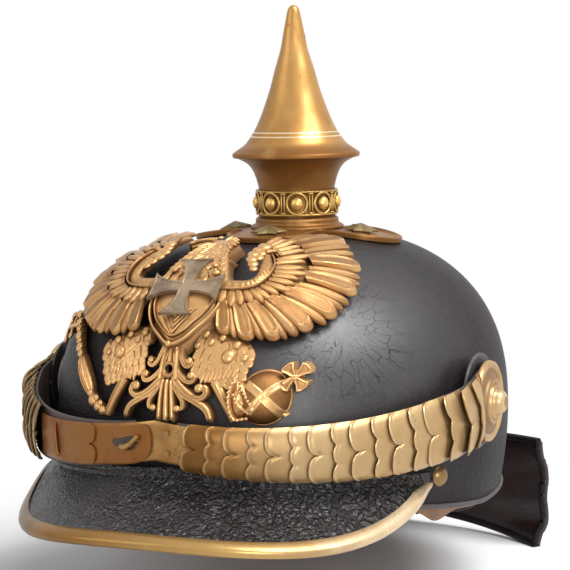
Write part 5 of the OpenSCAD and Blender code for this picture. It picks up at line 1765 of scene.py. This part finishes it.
def scale_pose(form, side, q, h):
    """Place and turn of one scale: x runs to the rosette, y up, z outwards."""
    d = form.chain_dir(side * q) * side
    turn, climb = math.atan2(d.y, d.x), math.asin(d.z)
    seat = form.backing_t + h * h / (8 * form.scale_bow_r) + form.seat
    return (Matrix.Translation(form.chain_at(side * q)) @ Matrix.Rotation(turn, 4, "Z")
            @ Matrix.Rotation(-climb, 4, "Y") @ Matrix.Rotation(math.radians(side * 90), 4, "X")
            @ Matrix.Translation((0, 0, seat)) @ Matrix.Rotation(math.radians(5.5), 4, "Y"))


def scale_sheet(form, h, lobes, side):
    """One scale with lobes on its free edge, a raised rim along them and a bowed back."""
    def free_edge(y):
        """How far the free edge is cut back at a height over the scale's middle."""
        w = h / lobes
        from_lobe = abs((y + h / 2) % w - w / 2) / (w / 2)
        return 0.36 * w * (1 - math.sqrt(max(0, 1 - min(1, from_lobe) ** 2.4)))

    def place(s, t):
        y = side * mix(-h / 2, h / 2, t)
        cut = free_edge(y)
        start = 3 - form.scale_l - 0.36 * h / lobes + cut
        x = mix(start, 0, s)
        near = x - start
        bow = math.sqrt(form.scale_bow_r ** 2 - y * y) - form.scale_bow_r
        rim = 0.35 * bump_at(near, 0.55, 0.5)
        puff = 0.45 * (1 - smooth((abs(y) / (h / 2) - 0.55) / 0.45)) * smooth(near / 3)
        roll = 0.5 * smooth((abs(y) / (h / 2) - 0.86) / 0.14)
        valley = 0.6 * bump_at(cut, 0.36 * h / lobes, 0.16 * h / lobes) * (1 - smooth(near / 5))
        return Vector((x, y, bow + 0.8 + rim + puff - roll - valley))

    # The relief level carries painted light: a painted highlight on the free rim and painted shade
    # on the part under the next scale.
    def level(s, t):
        y = mix(-h / 2, h / 2, t)
        painted_shade_under_next = smooth((s - 0.58) / 0.1)
        edge = smooth((abs(y) / (h / 2) - 0.9) / 0.1)
        rim = 1 - smooth((s - 0.05) / 0.05)
        return mix(0.8 + 0.2 * rim, 0.1, painted_shade_under_next) - 0.3 * edge * (1 - rim)

    def spread(s):
        return s ** 1.6

    shape = grid(20, 26, lambda s, t: place(spread(s), t),
                 relief=lambda s, t: level(spread(s), t))
    faced(shape, lambda face: face.normal.z)
    bmesh.ops.solidify(shape, geom=shape.faces[:], thickness=0.75)
    return shape


def clear_of_rosette(shape, form, side):
    """Leaves out the part of a scale that would lie in the rosette."""
    centre = form.at_rosette(side).translation
    reach = form.rosette_r + 0.4
    inside = [v for v in shape.verts
              if math.hypot(v.co.y - centre.y, v.co.z - centre.z) < reach]
    for v in inside:
        away = Vector((0, v.co.y - centre.y, v.co.z - centre.z))
        if away.length > reach - 5:
            v.co += away.normalized() * (reach - away.length)
    deep = [v for v in inside
            if math.hypot(v.co.y - centre.y, v.co.z - centre.z) < reach - 0.01]
    bmesh.ops.delete(shape, geom=deep, context="VERTS")
    return shape


def scale_brass(side):
    if side > 0:
        # Painted shade: the left scales darken towards the forehead, at low X.
        return plate_brass("left_scale_brass", paint("scales"), (0.36, 0.2, 0.07), 0.3, 0.4,
                           [(0.034, 0.07, (0.135, 0.058, 0.013))])
    # The right half's darker brass is painted shade: a shaded copy of the scale brass for the far
    # side.
    return plate_brass("right_scale_brass", (0.3, 0.19, 0.085), (0.14, 0.085, 0.035), 0.36, 0.7)


class HELMET_OT_chain(bpy.types.Operator):
    """Scales of both halves of the chin chain, on their leather"""

    bl_idname = "helmet.chain"
    bl_label = "Chin chain"

    def execute(self, context):
        form = helmet_form()
        for side, name, count, first in ((1, "left", form.left_scales, form.hook_q + 8.8),
                                         (-1, "right", form.right_scales, form.plate_q + 7)):
            scales = []
            for k in range(count):
                q = mix(first, form.rosette_q - 3, k / (count - 1))
                h = form.chain_h(q)
                scale = put(scale_sheet(form, h, 2 + k % 2, side), scale_pose(form, side, q, h))
                scales.append(clear_of_rosette(scale, form, side))
            shape = joined(scales)
            bmesh.ops.recalc_face_normals(shape, faces=shape.faces)
            piece(f"dress_{name}_scales", shape, scale_brass(side), body="chin_chain",
                  replaces=[f"{name}_chain_scales"], sharp=50)
            self.backing(form, side, name)
        return {"FINISHED"}

    def backing(self, form, side, name):
        """The leather strap behind the scales, its edges raised and its end round."""
        sections = []
        for k in range(97):
            q = mix(form.hook_q, form.rosette_q - 1, k / 96)
            h = form.chain_h(q) / 2 - 0.6
            t = form.backing_t
            line = [(0.1, -h), (0.5, -h - 0.25), (t - 0.3, -h), (t, -h + 0.5), (t, 0),
                    (t, h - 0.5), (t - 0.3, h), (0.5, h + 0.25), (0.1, h), (0, 0)]
            sections.append([chain_spot(form, side * q, over, up) for over, up in line])
        strap = swept(sections)
        tab = turned([(form.screw_r + 0.3, 0.1), (11, 0.1), (11.3, 0.5), (11, 1.3),
                      (form.screw_r + 0.3, 1.35), (form.screw_r + 0.3, 0.1)], 64)
        lift = Matrix.Translation((0, 0, form.chain_near))
        put(tab, form.at_rosette(side) @ lift)
        piece(f"dress_{name}_strap", joined([strap, tab]), strap_leather(), body="chin_chain",
              replaces=[f"{name}_chain_leather"])


def plate_strip(form, q_a, q_b, over, half_h, shape_end):
    """A sheet along the chain from q_a to q_b; shape_end(v) moves its free end at q_b."""

    def place(s, t):
        v = 2 * t - 1
        q = mix(q_a, q_b + shape_end(v), s)
        edge = smooth((abs(v) - 0.9) / 0.1)
        lift = over(q) if callable(over) else over
        return chain_spot(form, q, lift + 0.9 - 0.45 * edge, v * half_h)

    def level(s, t):
        return 0.8 - 0.3 * smooth((abs(2 * t - 1) - 0.92) / 0.08)

    shape = faced(grid(40, 20, place, relief=level), lambda face: -face.normal.y)
    bmesh.ops.solidify(shape, geom=shape.faces[:], thickness=0.8)
    return shape


class HELMET_OT_end_plates(bpy.types.Operator):
    """The two plates that hook together over the forehead"""

    bl_idname = "helmet.end_plates"
    bl_label = "End plates"

    def execute(self, context):
        form = helmet_form()
        half = form.scale_low_h / 2
        base = form.backing_t
        q_hook = form.hook_q + 1.8

        parts = [plate_strip(form, q_hook + 6, -6, base + 0.25, half * 0.93, lambda v: 0)]
        for q, up in [(2, -3.6), (0.6, 4.6), (4.4, -3.8), (5.8, -3.6), (6.4, 5.6)]:
            spot = chain_spot(form, q, base + 1.15, up)
            parts.append(bead(bmesh.new(), Matrix.Translation(spot), 0.42, 1, 10))
        seam = [chain_spot(form, 5.2 + 0.5 * math.sin(1.5 * k), base + 1.15,
                           mix(half, -half, k / 12) * 0.9) for k in range(13)]
        parts.append(tube(seam, 0.16, sides=6))
        brass = plate_brass("hook_plate_brass", (0.42, 0.24, 0.085), (0.2, 0.09, 0.024), 0.28, 0.8)
        piece("dress_left_plate", joined(parts), brass, body="chin_chain",
              replaces=["left_end_plate"], sharp=45)

        def two_lobes(v):
            return -1.8 * (1 - math.sqrt(max(0, 1 - abs(abs(v) * 2 - 1) ** 2.4)))

        def lap(q):
            """The right plate's height over the leather, where it rises over the left one."""
            return base + 0.25 + 1.4 * smooth((q + 11) / 4)

        far = plate_strip(form, -24, -0.5, lap, half * 0.97, lambda v: -4.2 * (
            1 - math.sqrt(max(0, 1 - min(1, abs(v)) ** 2.8))))
        under = plate_strip(form, -form.plate_q, -15.5, base + 1.1, half, two_lobes)
        # The right plate's brass is a darker, browner copy of the hook plate's, as painted shade on
        # the far side.
        copper = plate_brass("right_plate_brass", (0.25, 0.11, 0.03), (0.17, 0.055, 0.016), 0.33,
                             0.8)
        staple = [chain_spot(form, q, base + over, up) for q, over, up in
                  [(-30.1, 1.2, 6.4), (-29.8, 2.5, 5.6), (-29.2, 2.8, 0), (-28.8, 2.5, -5.6),
                   (-28.6, 1.2, -6.4)]]
        parts = [far, under, tube(curve_points(staple, 5), 0.75)]
        slot = curve_points_closed([
            (-10.6, 0.9), (-10.2, 2.2), (-8.6, 2.3), (-6.8, 2.9), (-4.8, 3.2), (-3.6, 0.6),
            (-4.6, -2.2), (-6.8, -2.4), (-8.8, -1.2), (-10.2, -0.6)])
        rim = [chain_spot(form, q, lap(q) + 0.92, up) for q, up in slot]
        parts.append(tube(rim, 0.3, ring=True, sides=8))
        piece("dress_right_plate", joined(parts), copper, body="chin_chain",
              replaces=["right_end_plate"], sharp=45)
        hook = [chain_spot(form, q, lap(q) + over, up) for q, over, up in
                [(-7.8, 0.2, -1.2), (-6.6, 1.5, -1.4), (-5.2, 2.2, -0.4), (-4, 2.4, 1.2),
                 (-3.2, 2.0, 2.8)]]
        tongue = tube(curve_points(hook, 5), lambda s: mix(1.5, 0.75, s), sides=14)
        well = bmesh.new()
        face = [chain_spot(form, q, lap(q) + 0.93, up) for q, up in slot]
        bmesh.ops.contextual_create(well, geom=[well.verts.new(p) for p in face])
        bmesh.ops.triangulate(well, faces=well.faces)
        piece("chain_hook", tongue, brass, body="chin_chain")
        piece("hook_slot", well, strap_leather(), body="chin_chain")
        return {"FINISHED"}


class HELMET_OT_rosettes(bpy.types.Operator):
    """Turned rosettes, and the painted cockades behind them"""

    bl_idname = "helmet.rosettes"
    bl_label = "Rosettes and cockades"

    def execute(self, context):
        form = helmet_form()
        r, h, hole = form.rosette_r, form.rosette_h, form.screw_r
        rim = [(r - 0.3, 0), (r, 0.3), (r, 1.3), (r - 0.6, 2.3), (r - 1.6, 2.7), (r - 2.5, 2.4),
               (r - 3.3, 1.7), (r - 3.7, 1.75), (r - 5.4, 2.2), (r - 6.6, 2.7), (r - 7.1, 3.6),
               (r - 7.9, 4.1), (r - 8.7, 4.2), (r - 9.2, 3.5), (r - 9.7, 3.6), (6.9, 4.9),
               (6.2, 5.1), (5.7, 4.6), (5.2, 5.4), (4.9, h - 2.2), (4.2, h - 1.1),
               (3.2, h - 0.5), (hole + 0.1, h - 0.3)]
        edge, thick = form.cockade_r, form.cockade_t
        disc = [(hole + 0.05, 0), (edge - 0.6, 0), (edge, 0.35), (edge, thick - 0.4),
                (edge - 0.4, thick), (edge - 1.4, thick), (edge - 1.8, thick - 0.3),
                (hole + 0.05, thick - 0.25), (hole + 0.05, 0)]
        profile = [(hole + 0.1, 0.05), (r - 0.3, 0.0)] + rounded(rim, 3)[1:]
        for side, name in ((1, "left"), (-1, "right")):
            marks = bmesh.new()
            for k in range(110):
                turn = Matrix.Rotation(math.tau * k / 110, 4, "Z")
                bead(marks, turn @ Matrix.Translation((r - 0.35, 0, 1.75)), 0.24, 1.6, 6)
            whole = joined([turned(profile + [profile[0]]), marks])
            put(whole, form.at_rosette(side) @ Matrix.Translation((0, 0, form.stack)))
            piece(f"dress_rosette_{name}", whole, rosette_brass(form, side),
                  replaces=[f"rosette_{name}"], sharp=60)
            flutes = bmesh.new()
            for k in range(72):
                turn = Matrix.Rotation(math.tau * k / 72, 4, "Z")
                flute = Matrix.Translation((15.4, 0, 1.05)) @ Matrix.Diagonal((6, 0.8, 0.8, 1))
                bead(flutes, turn @ flute, 0.45, 1.0, 8)
            whole = joined([turned(disc, 96), flutes])
            put(whole, form.at_rosette(side) @ Matrix.Translation((0, 0, form.cockade_lift)))
            colour = (0.012, 0.011, 0.012) if side > 0 else paint("red")
            centre = None if side > 0 else tuple(form.at_rosette(side).translation / 1000)
            enamel = painted(f"{name}_cockade_enamel", colour, centre)
            piece(f"dress_cockade_{name}", whole, enamel, replaces=[f"cockade_{name}"],
                  sharp=50)
        return {"FINISHED"}


def rosette_brass(form, side):
    """Brass that is dark in the rosette's grooves and rubbed bright on its boss."""
    f = Finish("rosette_brass_left" if side > 0 else "rosette_brass_right")
    radius = f.distance(form.at_rosette(side).translation / 1000, (0, 1, 1))
    well = f.step(radius, 0.0086, 0.0098) * (1 - f.step(radius, 0.0132, 0.0144))
    turning = f.noise(1.0, 2.0, 0.6, f.node("ShaderNodeCombineXYZ", None, {
        "X": radius * 1400}))["Fac"]
    patches = f.step(f.noise(75, 5.0, 0.6)["Fac"], 0.42, 0.68)
    colour = f.blend(patches * 0.6, (0.5, 0.33, 0.16), (0.3, 0.17, 0.07))
    colour = f.blend(well * 0.75, colour, (0.2, 0.115, 0.065))
    colour = f.blend((1 - f.step(radius, 0.003, 0.006)) * 0.6, colour, (0.68, 0.5, 0.28))
    return metal(f, colour, 0.28 + well * 0.14 + turning * 0.1,
                 f.bump(turning * 0.4 + f.noise(260, 3.0)["Fac"] * 0.6, 0.25, 0.0002))


# Inside: sweatband, silk lining and the fastenings

class HELMET_OT_sweatband(bpy.types.Operator):
    """Leather sweatband, sewn inside the rim"""

    bl_idname = "helmet.sweatband"
    bl_label = "Sweatband"

    def execute(self, context):
        form = helmet_form()

        def place(s, t):
            u = 360 * s
            foot = form.rim_level(u) + 2
            low, high = foot - 2.5 - 4.8 * bump_at(u, 339, 5), foot + form.band_h
            if t < 0.25:
                z = mix(low, foot, t / 0.25)
                gap = mix(-form.wall - 1, -form.wall - form.seat, t / 0.25)
            else:
                z = mix(foot, high, (t - 0.25) / 0.75)
                gap = mix(-form.wall - form.seat, -form.wall - form.band_gap, (t - 0.25) / 0.75)
            wave = 0.35 * math.sin(math.radians(7 * u)) * smooth((t - 0.5) / 0.5)
            return form.skin(u, z, gap - 0.05 + wave * 0.5)

        shape = faced(grid(288, 24, place, closed=True),
                      lambda face: -face.normal.dot(face.calc_center_median()))
        tan = soft_leather("tan_sweatband", paint("tan"), (0.12, 0.055, 0.022), 380, 0.5, 0.1)
        band = piece("dress_sweatband", shape, tan, replaces=["sweatband"])
        with_wall(band, form.band_t)
        stitches = bmesh.new()
        for k in range(220):
            u = 360 * k / 220
            p = form.skin(u, form.rim_level(u) - 2.6, -form.wall - form.band_t - 0.85)
            spin = Matrix.Rotation(math.radians(u + 90), 4, "Z")
            ball(stitches, Matrix.Translation(p) @ spin, (1.0, 0.35, 0.35), 8, 6)
        piece("sweatband_stitches", stitches, strap_leather())
        return {"FINISHED"}


class HELMET_OT_silk(bpy.types.Operator):
    """Silk lining, gathered to its opening under the crown"""

    bl_idname = "helmet.silk"
    bl_label = "Silk lining"

    def execute(self, context):
        form = helmet_form()
        edge = -form.wall - form.band_gap - form.band_t - form.seat
        folds, slack = 32, 8.4

        def place(s, t):
            u = 360 * s
            low = form.rim_level(u) + form.band_h - 12
            depth = smooth(t / 0.25)
            pleat = math.sin(math.radians(folds * u + 26 * math.sin(math.radians(3 * u))))
            fine = math.sin(math.radians(2.6 * folds * u + 60 * t))
            out = edge - slack * depth + (0.35 + 1.25 * t) * pleat * (0.25 + 0.75 * t)
            out += 0.3 * fine * t
            if t < 0.12:
                start = form.skin(u, low, edge - 0.15)
                end = form.dome(u, 8, edge - slack * smooth(0.12 / 0.25))
                return start.lerp(end, t / 0.12)
            return form.dome(u, mix(8, 66, (t - 0.12) / 0.88), out)

        middle = Vector((0, 0, 40))
        shape = faced(grid(512, 60, place, closed=True),
                      lambda face: -face.normal.dot(face.calc_center_median() - middle))
        silk = piece("dress_silk", shape, woven_silk(paint("silk")),
                     replaces=["silk_lining"], sharp=70)
        with_wall(silk, 0.35)
        return {"FINISHED"}


class HELMET_OT_fastenings(bpy.types.Operator):
    """Aged metal on the nuts, pins, screws, studs and rivets, whose shapes stay as they are"""

    bl_idname = "helmet.fastenings"
    bl_label = "Fastenings"

    def execute(self, context):
        nuts = dull_metal("old_brass_nuts", (0.34, 0.24, 0.12), (0.14, 0.09, 0.05), 0.4)
        bright = plate_brass("screw_brass", (0.7, 0.48, 0.2), (0.36, 0.19, 0.07), 0.28, 0.4)
        for finish, nodes in ((bright, ("spine_studs", "rosette_screws", "chain_rivets")),
                              (nuts, ("stud_nuts", "eagle_nuts", "rosette_nuts", "cross_pins"))):
            for node in nodes:
                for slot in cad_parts[node].material_slots:
                    slot.material = finish
        return {"FINISHED"}


# Stage

class HELMET_OT_stage(bpy.types.Operator):
    """Pale floor, soft studio lamps and the camera"""

    bl_idname = "helmet.stage"
    bl_label = "Stage"

    def execute(self, context):
        floor_shape = bmesh.new()
        bmesh.ops.create_circle(floor_shape, segments=96, radius=6, cap_ends=True)
        sheet = bpy.data.meshes.new("floor")
        floor_shape.to_mesh(sheet)
        floor_shape.free()
        sheet.transform(Matrix.Translation((0, 0, cad_box[0][2] - 0.0005)))
        floor = bpy.data.objects.new("floor", sheet)
        context.scene.collection.objects.link(floor)
        sheet.materials.append(pale_floor())
        lamp("key_lamp", (0.95, -0.1, 1.3), (0.9, 0.9), 24)
        lamp("front_lamp", (1.0, -1.25, 0.35), (0.6, 0.6), 9)
        lamp("left_lamp", (-1.0, -1.1, 0.7), (0.9, 0.9), 4)
        lamp("top_lamp", (0.52, -0.12, 1.45), (0.6, 0.6), 7)
        studio_air(context.scene)
        camera = bpy.data.cameras.new("camera")
        view = bpy.data.objects.new("camera", camera)
        context.scene.collection.objects.link(view)
        # The photo's camera in pixels: picture width, focal length, place of the axis
        picture, focal, axis_x, axis_y = 570, 1994, 298, 262
        turn, rise, roll = (math.radians(a) for a in (24.0, 5.5, -1.04))
        back = Vector((math.sin(turn) * math.cos(rise), -math.cos(turn) * math.cos(rise),
                       math.sin(rise)))
        right = Vector((math.cos(turn), math.sin(turn), 0))
        up = back.cross(right)
        tilted_right = right * math.cos(roll) + up * math.sin(roll)
        tilted_up = up * math.cos(roll) - right * math.sin(roll)
        pose = Matrix((tilted_right, tilted_up, back)).transposed().to_4x4()
        pose.translation = Vector((0, 0.014, 0.102)) + back * 0.9
        view.matrix_world = pose
        camera.sensor_width = 36
        camera.lens = focal * camera.sensor_width / picture
        camera.shift_x = (picture / 2 - axis_x) / picture
        camera.shift_y = (axis_y - picture / 2) / picture
        camera.clip_start, camera.clip_end = 0.05, 50
        context.scene.camera = view
        context.scene.view_settings.view_transform = "Standard"
        return {"FINISHED"}


def pale_floor():
    """White floor: lit near the helmet, so that it keeps the shadow, and plain white beyond."""
    f = Finish("pale_floor")
    far = f.distance((0, 0, 0), (1, 1, 0))
    f.set(Base_Color=(0.86, 0.86, 0.86, 1), Roughness=f.noise(300, 3.0)["Fac"] * 0.02 + 0.85,
          Specular_IOR_Level=0.0)
    glow = f.node("ShaderNodeEmission", None, {"Color": (1, 1, 1, 1), "Strength": 1.0})
    both = f.node("ShaderNodeMixShader", None, {
        "Fac": f.step(far, 0.12, 0.3) * f.seen(), 1: f.shader, 2: glow})
    f.tree.links.new(both.socket(), f.output.node.inputs["Surface"])
    return f.material


def lamp(name, place, size, power):
    """A soft rectangular lamp that faces the helmet."""
    light = bpy.data.lights.new(name, "AREA")
    light.shape = "RECTANGLE"
    light.size, light.size_y = size
    light.energy = power
    thing = bpy.data.objects.new(name, light)
    bpy.context.scene.collection.objects.link(thing)
    way = Vector(place) - Vector((0, 0, 0.07))
    pose = way.to_track_quat("Z", "Y").to_matrix().to_4x4()
    pose.translation = Vector(place)
    thing.matrix_world = pose


def studio_air(scene):
    """Air that is white where it is seen and gives a plain soft fill where it isn't."""
    world = bpy.data.worlds.new("studio_air")
    scene.world = world
    air = Nodes(world)
    fill, white = (air.node("ShaderNodeBackground", None, {
        "Color": (1, 1, 1, 1), "Strength": strength}) for strength in (0.35, 1.0))
    both = air.node("ShaderNodeMixShader", None, {0: air.seen(), 1: fill, 2: white})
    air.node("ShaderNodeOutputWorld", None, {"Surface": both})


# Sidebar and start

STEPS = (
    HELMET_OT_stage, HELMET_OT_skull, HELMET_OT_visor, HELMET_OT_edging,
    HELMET_OT_neck_guard, HELMET_OT_rear_spine, HELMET_OT_base, HELMET_OT_neck,
    HELMET_OT_pearl_ring, HELMET_OT_spike, HELMET_OT_eagle, HELMET_OT_silver_cross,
    HELMET_OT_chain, HELMET_OT_end_plates, HELMET_OT_rosettes, HELMET_OT_sweatband,
    HELMET_OT_silk, HELMET_OT_fastenings,
)


class HELMET_PT_sidebar(bpy.types.Panel):
    """Buttons that dress the helmet, piece by piece"""

    bl_idname = "HELMET_PT_sidebar"
    bl_label = "Spiked dress helmet"
    bl_space_type = "VIEW_3D"
    bl_region_type = "UI"
    bl_category = "Helmet"

    def draw(self, context):
        for step in STEPS:
            self.layout.operator(step.bl_idname)
        for group in (context.scene.helmet_sizes, context.scene.helmet_colours):
            box = self.layout.box()
            for name in group.__annotations__:
                box.prop(group, name)


CLASSES = (HelmetSizes, HelmetColours, *STEPS, HELMET_PT_sidebar)


def register():
    for kind in CLASSES:
        bpy.utils.register_class(kind)
    bpy.types.Scene.helmet_sizes = bpy.props.PointerProperty(type=HelmetSizes)
    bpy.types.Scene.helmet_colours = bpy.props.PointerProperty(type=HelmetColours)


def unregister():
    del bpy.types.Scene.helmet_colours
    del bpy.types.Scene.helmet_sizes
    for kind in reversed(CLASSES):
        bpy.utils.unregister_class(kind)


def main():
    register()
    for step in STEPS:
        group, name = step.bl_idname.split(".")
        getattr(getattr(bpy.ops, group), name)()


if __name__ == "__main__":
    main()
